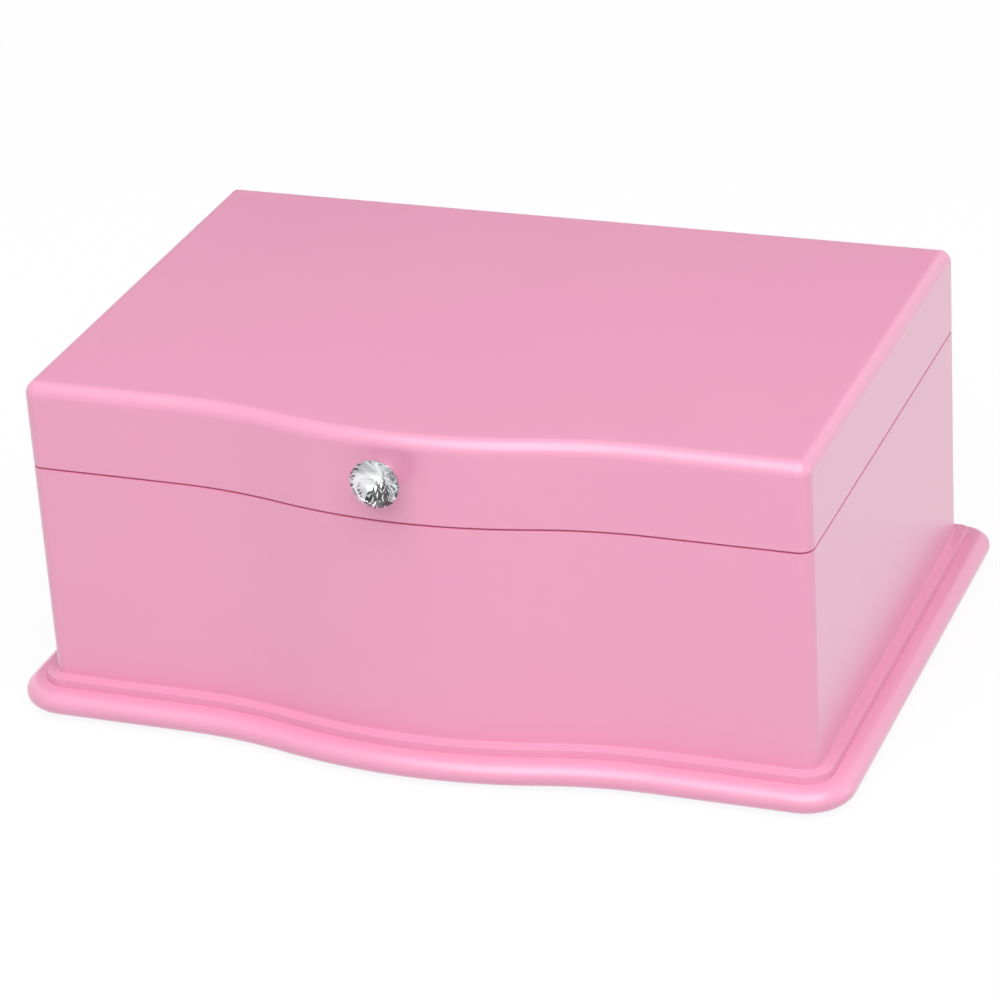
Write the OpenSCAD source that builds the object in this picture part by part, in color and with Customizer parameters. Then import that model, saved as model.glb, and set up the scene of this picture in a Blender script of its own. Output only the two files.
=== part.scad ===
// Ballerina jewellery box: a lacquered case with a serpentine front, a mirrored lid with a crystal
// knob, and a wind-up musical movement that turns a dancer on a spring.
// The origin is at the middle of the footprint, on the surface that the box stands on. -Y is the front.

/* [Case] */
// Width of the case at its side walls
body_w = 250; // [236:1:270]
// Depth of the case from the back to the flats of the front
body_d = 163; // [160:1:180]
// Height of the case between the plinth and the lid seam
case_h = 72; // [72:0.5:80]
// Thickness of the wooden walls
wall = 9; // [8:0.5:10]
// How far the front bows out at the middle
bow = 9; // [6:0.5:12]
// Half the width of the bowed stretch of the front
bow_half = 76; // [70:1:84]
// Share of the bow's curve that is the bulging crest
crest_share = 0.525; // [0.45:0.005:0.6]
// Radius of the front corners in plan
front_corner_r = 4.5; // [3:0.5:6]
// Radius of the back corners in plan
back_corner_r = 3; // [2:0.5:6]

/* [Plinth] */
// Height of the plinth with its felt feet
plinth_h = 11; // [10:0.5:14]
// How far the plinth's round nose stands out from the walls
plinth_out = 10.8; // [9:0.1:13]
// Width of the flat ledge on top of the plinth
ledge_w = 3.6; // [2.5:0.1:5]

/* [Lid] */
// Height of the lid with the seam below it
lid_h = 28.5; // [28:0.1:34]
// Height of the seam between the case and the lid
seam = 0.8; // [0.6:0.1:1]
// Thickness of the lid's top board
lid_top_t = 6; // [6:0.5:7]
// Radius of the round along the lid's top edge
lid_round = 4.5; // [3:0.5:5]
// How far the lid opens, in degrees
lid_travel = 97; // [90:1:100]

/* [Knob] */
// Diameter of the crystal at its girdle
crystal_d = 15.5; // [13:0.1:17]
// How far the crystal reaches out from the front of the lid
knob_reach = 11.8; // [11:0.1:14]
// Height of the knob above the rim of the case
knob_rise = 16.6; // [15:0.1:19]
// How far the knob sits to the right of the middle
knob_x = -2.4; // [-4:0.1:4]

/* [Movement] */
// Distance of the dancer's axis from the inside of the back wall
dancer_back = 36; // [34:1:40]
// Teeth of the crown wheel on the spring barrel
crown_teeth = 48; // [48]
// Teeth of the cylinder's pinion
pinion_teeth = 20; // [20]
// Teeth of the great wheel on the cylinder
great_teeth = 40; // [40]
// Teeth of the second pinion
second_teeth = 10; // [10]
// Teeth of the worm wheel
worm_wheel_teeth = 20; // [20]
// Notes of the comb
notes = 18; // [12:1:18]

/* [Hidden] */
$fn = 64;

pink = [0.93, 0.64, 0.77];
lining_pink = [0.96, 0.78, 0.85];
steel = [0.72, 0.73, 0.75];
brass = [0.8, 0.66, 0.36];
skin = [0.95, 0.8, 0.72];

// the front's plan: a crest arc and two flank arcs, all tangent
bow_angle = 2 * atan(bow / bow_half);
r_both = bow_half / sin(bow_angle);
r_crest = crest_share * r_both;
r_flank = r_both - r_crest;
y_mid = (bow + knob_reach - plinth_out) / 2;
y_back = y_mid + body_d / 2;
y_flat = y_mid - body_d / 2;
y_apex = y_flat - bow;
x_side = body_w / 2;
x_in = x_side - wall;
y_in_back = y_back - wall;
y_in_flat = y_flat + wall;

// levels
pad_t = 1;
felt_t = 0.8;
z_case = plinth_h;
z_rim = z_case + case_h;
z_lid = z_rim + seam;
z_top = z_rim + lid_h;
z_board = z_top - lid_top_t;
floor_t = 2.5;
z_floor = z_case + floor_t;
divider_t = 4;
z_divider = 56;
deck_t = 3;
z_deck = 39.5;
z_stage = z_deck + deck_t;
lining_t = 1.5;
mirror_t = 3;
z_mirror = z_board - lining_t - mirror_t;
x_stage = 54;
y_divider = y_in_back - 79;
recess_r = 20;

// arc of n steps, with its first point left out
function arc(c, r, a0, a1, n) =
  [for (i = [1 : n]) let (a = a0 + (a1 - a0) * i / n) [c[0] + r * cos(a), c[1] + r * sin(a)]];

// the serpentine front from left to right, moved outwards by d
function front_run(d) = concat(
  [[-bow_half, y_flat - d]],
  arc([-bow_half, y_flat - r_flank], r_flank - d, 90, 90 - bow_angle, 5),
  arc([0, y_apex + r_crest], r_crest + d, 270 - bow_angle, 270 + bow_angle, 10),
  arc([bow_half, y_flat - r_flank], r_flank - d, 90 + bow_angle, 90, 5)
);

// one round corner of the plan, moved outwards by d
function corner(side, end_y, into, r, a, d) =
  let (rr = max(r + d, 0.4), c = [side * (x_side + d - rr), end_y + into * (rr - d)])
  arc(c, rr, a - 18, a + 90, 6);

// the whole plan outline, moved outwards by d, the same number of points at any d
function outline(d) = concat(
  front_run(d),
  corner(1, y_flat, 1, front_corner_r, -90, d),
  corner(1, y_back, -1, back_corner_r, 0, d),
  corner(-1, y_back, -1, back_corner_r, 90, d),
  corner(-1, y_flat, 1, front_corner_r, 180, d)
);

// the room inside the walls, with square corners, drawn in by d
function inside(d = 0) = concat(
  front_run(-wall - d),
  [[x_in - d, y_in_flat + d], [x_in - d, y_in_back - d], [-x_in + d, y_in_back - d],
   [-x_in + d, y_in_flat + d]]
);

// the points of outlines at each [offset, height] of a profile, one after another
function rings(profile) = [for (p = profile) each [for (q = outline(p[0])) [q[0], q[1], p[1]]]];

// the triangles between each ring of points and the next, round the whole outline
function skin_faces(n, pairs) = [
  for (j = pairs, i = [0 : n - 1])
    let (k = (i + 1) % n, a = j[0] * n + i, b = j[0] * n + k, c = j[1] * n + k, d = j[1] * n + i)
      each [[a, d, c], [a, c, b]]
];

// a flat end: strips across the outline from each point on the left to its mirror on the right,
// with a fan where the corner starts in line with the flat of the front
function end_faces(o) = let (
  left = concat([for (i = [9 : -1 : 0]) i], [for (i = [44 : -1 : 33]) i]),
  right = concat([for (i = [11 : 20]) i], [for (i = [21 : 32]) i])
) concat(
  [[o + 10, o + 11, o + 9]],
  [for (k = [0 : len(left) - 2]) if (k != 9 && k != 10)
    each [[o + left[k], o + right[k], o + right[k + 1]], [o + left[k], o + right[k + 1], o + left[k + 1]]]],
  [[o + 43, o + 44, o], [o + 43, o, o + 20], [o + 43, o + 20, o + 21], [o + 43, o + 21, o + 22]]
);

// a solid through the plan outline at each [offset, height] of a profile
module loft(profile) {
  n = len(outline(0));
  m = len(profile);
  low = [for (f = end_faces(0)) f];
  high = [for (f = end_faces((m - 1) * n)) [f[2], f[1], f[0]]];
  polyhedron(rings(profile), concat(low, skin_faces(n, [for (j = [0 : m - 2]) [j, j + 1]]), high));
}

// a frame whose section is the closed profile
module loft_frame(profile) {
  n = len(outline(0));
  m = len(profile);
  polyhedron(rings(profile), skin_faces(n, [for (j = [0 : m - 1]) [j, (j + 1) % m]]));
}

module slab(low, high) {
  translate([0, 0, low]) linear_extrude(high - low) children();
}

module box(low, high) {
  translate(low) cube(high - low);
}

// the outline of one of the four walls: front and back run full width, the sides fit between
module wall_plan(which) {
  intersection() {
    difference() {
      polygon(outline(0));
      polygon(inside());
    }
    if (which == "front") translate([-x_side - 1, y_apex - 1]) square([body_w + 2, bow + wall + 1]);
    if (which == "back") translate([-x_side - 1, y_in_back]) square([body_w + 2, wall + 1]);
    if (which == "left") translate([-x_side - 1, y_in_flat]) square([wall + 2, y_in_back - y_in_flat]);
    if (which == "right") translate([x_in - 1, y_in_flat]) square([wall + 2, y_in_back - y_in_flat]);
  }
}

// ---- plinth and floor ----

y_axis = y_in_back - dancer_back;

// the plinth's section: a round nose below a riser and a flat ledge, as [offset, height]
nose_r = [4.6, (plinth_h - 2.6 - pad_t) / 1.93];
nose_z = plinth_h - 2.6 - nose_r[1];
plinth_profile = concat(
  [for (a = [-60 : 15 : 90]) [plinth_out - nose_r[0] * (1 - cos(a)), nose_z + nose_r[1] * sin(a)]],
  [[ledge_w + 0.7, plinth_h - 2.6], [ledge_w, plinth_h - 3], [ledge_w, plinth_h - 0.3],
   [ledge_w - 0.3, plinth_h], [-wall, plinth_h], [-wall, pad_t]]
);

module plinth_moulding() {
  color(pink) loft_frame(plinth_profile);
}

module plinth_board() {
  color(pink) difference() {
    slab(pad_t, z_case) polygon(outline(-wall));
    translate([0, y_axis, 0]) cylinder(r = recess_r, h = z_case + 1);
    slab(0, pad_t + felt_t) polygon(inside(2));
  }
}

module foot_pads() {
  color("dimgray")
    for (x = [-1, 1], y = [y_in_flat + 14, y_in_back - 14])
      translate([x * (x_in - 14), y, 0]) cylinder(r = 9, h = pad_t);
}

module underside_felt() {
  color("gray") difference() {
    slab(pad_t, pad_t + felt_t) polygon(inside(2.3));
    translate([0, y_axis, 0]) cylinder(r = recess_r + 1, h = z_case);
  }
}

screw_spots = [[-13, -24], [-12, 14], [38, -28], [36, 18]];

module case_floor() {
  color("burlywood") difference() {
    slab(z_case, z_floor) polygon(inside());
    translate([0, y_axis, 0]) {
      cylinder(r = 3.4, h = z_floor + 1);
      for (s = screw_spots) translate([s[0], s[1], 0]) cylinder(r = 1, h = z_floor + 1);
    }
  }
}

// ---- case walls ----

hinge_x = 72;
leaf_w = 30;
leaf_d = 8;
leaf_t = 0.9;
knuckle_r = 2.2;
pin_r = 1;
y_hinge = y_back + 2.3;
z_hinge = z_rim + seam / 2;
z_leaf = z_hinge - leaf_t - 0.1;

// the two hinge places, mirrored left and right
module at_hinges() {
  for (side = [-1, 1]) translate([side * hinge_x, 0, 0]) children();
}

module case_front() {
  color(pink) slab(z_case, z_rim) wall_plan("front");
}

module case_back() {
  color(pink) difference() {
    slab(z_case, z_rim) wall_plan("back");
    at_hinges() box([-leaf_w / 2, y_back - leaf_d, z_leaf], [leaf_w / 2, y_back + 1, z_rim + 1]);
  }
}

module case_left() {
  color(pink) slab(z_case, z_rim) wall_plan("left");
}

module case_right() {
  color(pink) slab(z_case, z_rim) wall_plan("right");
}

// ---- partitions, stage and cushions ----

module long_divider() {
  color(lining_pink)
    box([-x_in, y_divider, z_floor], [x_in, y_divider + divider_t, z_divider]);
}

module stage_walls() {
  color(lining_pink)
    for (side = [-1, 1])
      translate([side * (x_stage + divider_t / 2), 0, 0])
        box([-divider_t / 2, y_divider + divider_t, z_floor], [divider_t / 2, y_in_back, z_divider]);
}

module front_dividers() {
  color(lining_pink)
    for (side = [-1, 1])
      slab(z_floor, z_divider) intersection() {
        translate([side * (x_stage + divider_t / 2) - divider_t / 2, y_apex])
          square([divider_t, y_divider - y_apex]);
        polygon(inside());
      }
}

module deck_cleats() {
  color("burlywood") {
    for (side = [-1, 1])
      translate([side * (x_stage - 2), 0, 0])
        box([-2, y_divider + 12, z_deck - 5], [2, y_in_back - 6, z_deck]);
    box([-x_stage, y_divider + divider_t, z_deck - 5], [x_stage, y_divider + divider_t + 4, z_deck]);
  }
}

rod_x = 48.4;
rod_y = y_in_back - 3;
rod_r = 1;
bush_r = 4;
spindle_r = 1.5;
fit = 0.05;

module stage_deck() {
  color(lining_pink) difference() {
    box([-x_stage, y_divider + divider_t, z_deck], [x_stage, y_in_back, z_stage]);
    translate([0, y_axis, 0]) cylinder(r = bush_r, h = 60);
    translate([rod_x, rod_y, 0]) cylinder(r = rod_r + fit, h = 60);
  }
}

module spindle_bush() {
  color("white") translate([0, y_axis, z_deck - 0.5]) difference() {
    union() {
      cylinder(r = bush_r, h = deck_t + 0.5);
      cylinder(r = bush_r + 1.5, h = 0.5);
    }
    translate([0, 0, -1]) cylinder(r = spindle_r + fit, h = 6);
  }
}

roll_count = 6;
roll_r = 5;
roll_pitch = 10.6;
roll_len = 2 * x_stage - 3;
roll_y = y_divider - 1 - roll_pitch / 2;
z_roll = 42;

module roll_base() {
  color(lining_pink)
    box([-roll_len / 2, roll_y - (roll_count - 0.5) * roll_pitch, z_floor],
        [roll_len / 2, roll_y + roll_pitch / 2, z_roll]);
}

// rings are pushed between the soft rolls
module ring_rolls() {
  color(lining_pink)
    for (i = [0 : roll_count - 1])
      translate([0, roll_y - i * roll_pitch, z_roll]) intersection() {
        translate([-roll_len / 2, 0, roll_r - 1]) rotate([0, 90, 0]) cylinder(r = roll_r, h = roll_len);
        box([-roll_len, -roll_r - 1, 0], [roll_len, roll_r + 1, 2 * roll_r]);
      }
}

pad_gap = 0.6;
cushion_t = 3;

module floor_pads() {
  color(lining_pink)
    for (side = [-1, 1]) {
      slab(z_floor, z_floor + cushion_t) intersection() {
        polygon(inside(pad_gap));
        translate([side > 0 ? x_stage + divider_t + pad_gap : -x_in, y_apex])
          square([x_in - x_stage - divider_t - pad_gap, y_divider - pad_gap - y_apex]);
      }
      slab(z_floor, z_floor + cushion_t) intersection() {
        polygon(inside(pad_gap));
        translate([side > 0 ? x_stage + divider_t + pad_gap : -x_in, y_divider + divider_t + pad_gap])
          square([x_in - x_stage - divider_t - pad_gap, y_in_back - y_divider - divider_t]);
      }
    }
}

// thin padded lining round the mouth of the case, above the partitions
module rim_lining() {
  color(lining_pink) difference() {
    slab(z_divider + 0.2, z_rim - 2) polygon(inside());
    slab(z_divider, z_rim) polygon(inside(1.2));
    box([rod_x - 3, y_in_back - 2, z_divider], [rod_x + 3, y_in_back + 1, z_rim]);
  }
}

// ---- hinges ----

knuckles = 5;
knuckle_gap = 0.3;
knuckle_w = (leaf_w - (knuckles - 1) * knuckle_gap) / knuckles;
leaf_hole_x = leaf_w / 3;
leaf_hole_y = y_back - leaf_d / 2 - 0.5;
leaf_hole_r = 1;
sink_r = 1.85;
sink_h = 0.8;
pin_out_x = 0.4;

// one leaf with every other knuckle, starting at the first given, its screw holes sunk from one face
module leaf(first, low, high, sunk_from_top) {
  difference() {
    union() {
      box([-leaf_w / 2, y_back - leaf_d, low], [leaf_w / 2, y_back, high]);
      for (i = [first : 2 : knuckles - 1])
        translate([-leaf_w / 2 + i * (knuckle_w + knuckle_gap), 0, 0]) {
          box([0, y_back - 1, low], [knuckle_w, y_hinge, high]);
          translate([0, y_hinge, z_hinge]) rotate([0, 90, 0]) cylinder(r = knuckle_r, h = knuckle_w);
        }
    }
    translate([-leaf_w, y_hinge, z_hinge]) rotate([0, 90, 0])
      cylinder(r = first == 0 ? pin_r : pin_r + fit, h = 2 * leaf_w);
    for (x = [-leaf_hole_x, leaf_hole_x]) translate([x, leaf_hole_y, 0]) {
      cylinder(r = leaf_hole_r, h = 2 * z_rim);
      translate([0, 0, sunk_from_top ? high : low]) rotate([sunk_from_top ? 180 : 0, 0, 0])
        cylinder(r1 = sink_r, r2 = leaf_hole_r, h = sink_h);
    }
  }
}

module hinge_case_leaves() {
  color(brass) at_hinges() leaf(0, z_leaf, z_hinge - 0.1, true);
}

module hinge_lid_leaves() {
  color(brass) at_hinges() leaf(1, z_hinge + 0.1, z_hinge + 0.1 + leaf_t, false);
}

module hinge_pins() {
  color(steel) at_hinges()
    translate([-leaf_w / 2 - pin_out_x, y_hinge, z_hinge]) rotate([0, 90, 0])
      cylinder(r = pin_r, h = leaf_w + 2 * pin_out_x);
}

// countersunk wood screws with slotted heads just below the leaf's face, pointing down or up
module leaf_screws(head_z, down) {
  at_hinges() for (x = [-leaf_hole_x, leaf_hole_x])
    translate([x, leaf_hole_y, head_z]) rotate([down ? 180 : 0, 0, 0]) difference() {
      union() {
        cylinder(r1 = sink_r - 0.1, r2 = leaf_hole_r - 0.05, h = sink_h);
        cylinder(r = leaf_hole_r - 0.05, h = 7);
      }
      cube([4, 0.4, 0.6], center = true);
    }
}

module hinge_case_screws() {
  color(brass) leaf_screws(z_hinge - 0.15, true);
}

module hinge_lid_screws() {
  color(brass) leaf_screws(z_hinge + 0.15, false);
}

// ---- musical movement: fixed pieces ----

plate_t = 1.6;
z_plate = z_floor + plate_t;
arbor_r = 3;
z_ratchet = z_plate + 0.4;
ratchet_t = 1;
z_barrel = z_ratchet + ratchet_t + 0.5;
barrel_h = 7.1;
barrel_r = 14.2;
z_crown = z_barrel + barrel_h;
crown_t = 1.2;
tooth_h = 1.2;
mesh_r = 13;
pinion_r = mesh_r * pinion_teeth / crown_teeth;
pinion_tip = pinion_r + 0.5;
z_cyl = z_crown + crown_t + 0.15 + pinion_tip;
drum_r = 6;
drum_x = 17.4;
drum_len = 22;
pin_out = 0.7;
bearing_t = 1.2;
inner_bearing_x = 15.4;
great_x = drum_x + drum_len + 0.8;
great_r = 7.2;
great_t = 1.2;
wheel_t = 1;
wheel_x = great_x + great_t + 0.8;
outer_bearing_x = wheel_x + wheel_t + 1.2;
arbor_x1 = outer_bearing_x + bearing_t + 0.6;
cyl_arbor_r = 0.85;
second_r = great_r * second_teeth / great_teeth;
second_dir = 31;
second_y = (great_r + second_r) * cos(second_dir);
z_second = z_cyl - (great_r + second_r) * sin(second_dir);
second_arbor_r = 0.7;
middle_bearing_x = 35;
wheel_r = 4.8;
worm_r = 1.6;
worm_x = wheel_x + wheel_t / 2;
worm_y = second_y + wheel_r + worm_r + 0.1;
worm_lead = 2 * 2 * PI * wheel_r / worm_wheel_teeth;
worm_len = 5;
z_fly = z_second + 5.2;
fly_h = 3.5;
fly_r = 4.4;
governor_r = 0.6;
z_cock = z_fly + fly_h + 0.6;

module at_axis() {
  translate([0, y_axis, 0]) children();
}

// a spur wheel's outline with straight-sided teeth, the first tooth pointing along +X
function gear_points(n, tip, root, tip_share, root_share) = [
  for (i = [0 : n - 1], k = [[root, -root_share], [tip, -tip_share], [tip, tip_share], [root, root_share]])
    let (a = 360 / n * (i + k[1] / 2)) [k[0] * cos(a), k[0] * sin(a)]
];

// turns a flat outline so that it stands across the X axis, with its +X pointing down
module across_x(x, t) {
  translate([x, 0, 0]) rotate([0, 90, 0]) linear_extrude(t) children();
}

module bedplate() {
  color(steel) at_axis() difference() {
    slab(z_floor, z_plate) difference() {
      translate([-18, -31]) square([66, 54]);
      for (x = [-18, 48], y = [-31, 23]) translate([x, y]) rotate(45) square(6, center = true);
    }
    cylinder(r = arbor_r + fit, h = 60);
    for (s = screw_spots) translate([s[0], s[1], 0]) cylinder(r = 1, h = 60);
  }
}

module movement_screws() {
  color(steel) at_axis()
    for (s = screw_spots) translate([s[0], s[1], z_case]) {
      cylinder(r = 1, h = z_plate - z_case + 0.6);
      translate([0, 0, z_plate - z_case]) cylinder(r = 2, h = 1.2);
    }
}

comb_t = 0.9;
comb_gap = 0.2;
comb_y = -drum_r - pin_out - comb_gap;
comb_back = -25;
comb_pitch = drum_len / notes;
z_comb = z_cyl - comb_t / 2;
comb_screw_xs = [drum_x + 3, drum_x + drum_len / 2, drum_x + drum_len - 3];
comb_screw_y = -21.5;

module comb_base() {
  color("gray") at_axis() difference() {
    box([drum_x - 0.5, comb_back, z_plate], [drum_x + drum_len + 0.5, -17.5, z_comb]);
    translate([drum_x - 2, -19.5, z_plate]) rotate([-35, 0, 0]) cube([drum_len + 4, 12, 20]);
    for (x = comb_screw_xs) translate([x, comb_screw_y, z_comb - 5]) cylinder(r = 1, h = 10);
  }
}

// the steel comb: a tooth for each note, the bass teeth cut deepest
module comb() {
  color(steel) at_axis() slab(z_comb, z_comb + comb_t) difference() {
    translate([drum_x - 0.3, comb_back + 0.5]) square([drum_len + 0.6, comb_y - comb_back - 0.5]);
    for (i = [1 : notes - 1])
      translate([drum_x + i * comb_pitch - 0.14, comb_y - 5 - 5.5 * i / notes]) square([0.28, 20]);
    for (x = comb_screw_xs) translate([x, comb_screw_y]) circle(r = 1.1);
  }
}

module comb_screws() {
  color(brass) at_axis()
    for (x = comb_screw_xs) translate([x, comb_screw_y, z_comb - 4]) {
      cylinder(r = 1, h = 4 + comb_t);
      translate([0, 0, 4 + comb_t]) difference() {
        cylinder(r = 1.9, h = 1.2);
        translate([-3, -0.25, 0.7]) cube([6, 0.5, 2]);
      }
    }
}

// a bearing plate that stands on the bedplate and ends in a round lug at each arbor
module bearing_plate(x, holes, foot_y, foot_w) {
  translate([x, 0, 0]) rotate([90, 0, 90]) linear_extrude(bearing_t) difference() {
    union() {
      translate([foot_y, z_plate]) square([foot_w, holes[0][1] - z_plate]);
      for (h = holes) translate([h[0], h[1]]) circle(r = h[2] + 1.2);
      if (len(holes) > 1) translate([holes[1][0] - 2.2, z_plate]) square([4.4, holes[1][1] - z_plate]);
    }
    for (h = holes) translate([h[0], h[1]]) circle(r = h[2] + fit);
  }
  box([x - 2.2, foot_y, z_plate], [x + bearing_t, foot_y + foot_w, z_plate + 1]);
}

module cylinder_bearings() {
  cylinder_hole = [0, z_cyl, cyl_arbor_r];
  second_hole = [second_y, z_second, second_arbor_r];
  color(brass) at_axis() {
    bearing_plate(inner_bearing_x, [cylinder_hole], -2.6, 5.2);
    bearing_plate(outer_bearing_x, [cylinder_hole, second_hole], -2.6, 5.2);
    bearing_plate(middle_bearing_x, [second_hole], second_y - 1.9, 3.8);
  }
}

// the cock holds the governor between a foot bearing and a top arm
module governor_cock() {
  arm_y = worm_y + fly_r + 1.2;
  color(brass) at_axis() difference() {
    union() {
      box([worm_x - 2.5, worm_y - 2, z_plate], [worm_x + 2.5, arm_y + 2, z_plate + 1]);
      box([worm_x - 2.5, arm_y, z_plate], [worm_x + 2.5, arm_y + 2, z_cock + 1.4]);
      box([worm_x - 2.5, worm_y, z_cock], [worm_x + 2.5, arm_y + 1, z_cock + 1.4]);
      translate([worm_x, worm_y, z_cock]) cylinder(r = 2.5, h = 1.4);
      translate([worm_x, worm_y, z_plate]) cylinder(r = 1.6, h = 3);
    }
    translate([worm_x, worm_y, z_plate + 1.4]) cylinder(r = governor_r + fit, h = 3);
    translate([worm_x, worm_y, z_cock - 1]) cylinder(r = governor_r + fit, h = 5);
  }
}

ratchet_r = 7;
ratchet_teeth = 24;

// a flat spring whose turned end is the pawl of the winding ratchet
module click_spring() {
  color(steel) at_axis() {
    box([-ratchet_r - 4, -10, z_ratchet], [-ratchet_r - 3.4, 3, z_ratchet + ratchet_t]);
    box([-ratchet_r - 4, 2, z_ratchet], [-ratchet_r - 0.2, 2.6, z_ratchet + ratchet_t]);
    box([-ratchet_r - 6.5, -14.5, z_plate], [-ratchet_r - 3.4, -9, z_ratchet + ratchet_t]);
  }
}

// ---- lid ----

module lid_front() {
  color(pink) difference() {
    slab(z_lid, z_board) wall_plan("front");
    translate([knob_x, 0, z_rim + knob_rise]) rotate([90, 0, 0]) cylinder(r = screw_r + 0.1, h = 200);
  }
}

module lid_back() {
  color(pink) difference() {
    slab(z_lid, z_board) wall_plan("back");
    at_hinges()
      box([-leaf_w / 2, y_back - leaf_d, z_rim], [leaf_w / 2, y_back + 1, z_hinge + 0.1 + leaf_t]);
  }
}

module lid_left() {
  color(pink) slab(z_lid, z_board) wall_plan("left");
}

module lid_right() {
  color(pink) slab(z_lid, z_board) wall_plan("right");
}

// the top board, its upper edge rounded over
module lid_top() {
  color(pink) loft(concat(
    [[0, z_board]],
    [for (a = [0 : 15 : 90]) [-lid_round * (1 - cos(a)), z_top - lid_round * (1 - sin(a))]]
  ));
}

module lid_lining() {
  color(lining_pink) slab(z_board - lining_t, z_board) polygon(inside(0.5));
}

mirror_w = 186;
mirror_d = 108;
mirror_bevel = 6;
mirror_edge = 1.8;

module mirror_plan() {
  translate([0, y_mid]) difference() {
    square([mirror_w, mirror_d], center = true);
    for (x = [-1, 1], y = [-1, 1])
      translate([x * mirror_w / 2, y * mirror_d / 2]) rotate(45) square(8, center = true);
  }
}

// a mirror with cut corners, its face bevelled all round
module mirror() {
  color([0.85, 0.9, 0.92]) hull() {
    slab(z_mirror + mirror_t - mirror_edge, z_mirror + mirror_t) mirror_plan();
    slab(z_mirror, z_mirror + mirror_t - mirror_edge) offset(delta = -mirror_bevel) mirror_plan();
  }
}

module lid_bumpers() {
  color("white")
    for (x = [-1, 1], y = [y_flat + wall / 2, y_in_back - 12])
      translate([x * (x_side - wall / 2), y, z_rim + 0.02]) cylinder(r = 3, h = seam - 0.02);
}

// the lid's block that holds the stop rod down while the lid is shut
module stop_block() {
  color("burlywood")
    box([rod_x - 3, y_in_back - 6, z_lid + 0.6], [rod_x + 3, y_in_back, z_board - lining_t]);
}

screw_r = 1.5;
knob_y = y_apex;
girdle_h = 0.8;
crown_h = 3.4;
pavilion_h = 4.6;
girdle_reach = knob_reach - crown_h - girdle_h / 2;

// turns a shape made along +Z so that it points out of the lid's front
module knob_axis(from_y) {
  translate([knob_x, from_y, z_rim + knob_rise]) rotate([90, 0, 0]) children();
}

// the depth, below the flat end, at which a kite facet's side corners lie in the facet's plane
function kite_drop(flat_r, side_r, r, depth) = (side_r * cos(22.5) - flat_r) * depth / (r - flat_r);

// a cut crystal: table, stars and kites in front, kites down to a small flat behind
module knob_crystal() {
  r = crystal_d / 2;
  table_r = 0.53 * r;
  crown_r = 0.8 * r;
  pavilion_r = 0.45 * r;
  flat_r = 0.6;
  half = girdle_h / 2;
  ring = function (n, rad, h, turn)
    [for (i = [0 : n - 1]) let (a = 360 / n * (i + turn)) [rad * cos(a), rad * sin(a), h]];
  points = concat(
    ring(8, table_r, half + crown_h, 0),
    ring(8, crown_r, half + crown_h - kite_drop(table_r, crown_r, r, crown_h), 0.5),
    ring(16, r, half, 0),
    ring(16, r, -half, 0),
    ring(8, pavilion_r, kite_drop(flat_r, pavilion_r, r, pavilion_h) - half - pavilion_h, 0.5),
    ring(8, flat_r, -half - pavilion_h, 0)
  );
  color([0.92, 0.95, 0.98]) knob_axis(knob_y - girdle_reach) hull()
    polyhedron(points, [for (i = [0 : len(points) - 3]) [i, i + 1, i + 2]]);
}

flange_r = 3;
neck_r = 1.9;
flange_in = 0.3;

// a turned cup on a neck, let into the lid's front, with the crystal glued into its cone
module knob_cup() {
  seat = girdle_reach - girdle_h / 2 - pavilion_h + flange_in;
  seat_r = 1;
  lip = seat + 2.2;
  lip_r = 4.35;
  color(steel) knob_axis(knob_y + flange_in) rotate_extrude() polygon([
    [0, 0], [flange_r, 0], [flange_r, 1], [neck_r + 0.4, 1.4], [neck_r, 2], [neck_r, seat - 0.5],
    [lip_r + 0.35, lip], [lip_r, lip], [seat_r, seat], [0, seat]
  ]);
}

module knob_screw() {
  color(steel) knob_axis(knob_y + wall) {
    translate([0, 0, -1.6]) cylinder(r = 2.4, h = 1.6);
    cylinder(r = screw_r, h = wall - 0.3);
  }
}

// ---- spring barrel with the dancer ----

module spring_barrel() {
  color(brass) at_axis() difference() {
    translate([0, 0, z_barrel]) cylinder(r = barrel_r, h = barrel_h);
    translate([0, 0, z_barrel + 1]) cylinder(r = barrel_r - 1, h = barrel_h);
    cylinder(r = arbor_r + fit, h = 60);
  }
}

// the coiled spring, a strip from the winding arbor out to the barrel's wall
module mainspring() {
  turns = 6;
  steps = 16 * turns;
  r0 = arbor_r + 0.9;
  r1 = barrel_r - 1.6;
  strip = 0.5;
  spiral = function (d) [
    for (i = [0 : steps]) let (a = 360 * turns * i / steps, r = r0 + (r1 - r0) * i / steps + d)
      [r * cos(a), r * sin(a)]
  ];
  inner = spiral(0);
  outer = spiral(strip);
  color("slategray") at_axis() slab(z_barrel + 1.3, z_crown - 0.4)
    polygon(concat(inner, [for (i = [steps : -1 : 0]) outer[i]]));
}

// the barrel's cover, with upright teeth round its edge
module crown_wheel() {
  color(brass) at_axis() translate([0, 0, z_crown]) {
    difference() {
      cylinder(r = barrel_r, h = crown_t);
      translate([0, 0, -1]) cylinder(r = spindle_r, h = 4);
    }
    for (i = [0 : crown_teeth - 1])
      rotate(360 / crown_teeth * (i + 0.5)) translate([mesh_r - 1, -0.3, crown_t]) cube([2, 0.6, tooth_h]);
  }
}

z_turn = z_stage + 0.6;
turn_t = 1.6;

module spindle() {
  color(steel) at_axis() {
    translate([0, 0, z_crown]) cylinder(r = spindle_r, h = z_turn - z_crown);
    translate([0, 0, z_turn]) cylinder(r = 6, h = turn_t);
    translate([0, 0, z_turn + turn_t]) cylinder(r = 2, h = 1.6);
  }
}

coil_r = 2.9;
wire_r = 0.4;
z_coil = z_turn + turn_t + wire_r;
coil_h = 8;
coil_turns = 5;

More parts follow.
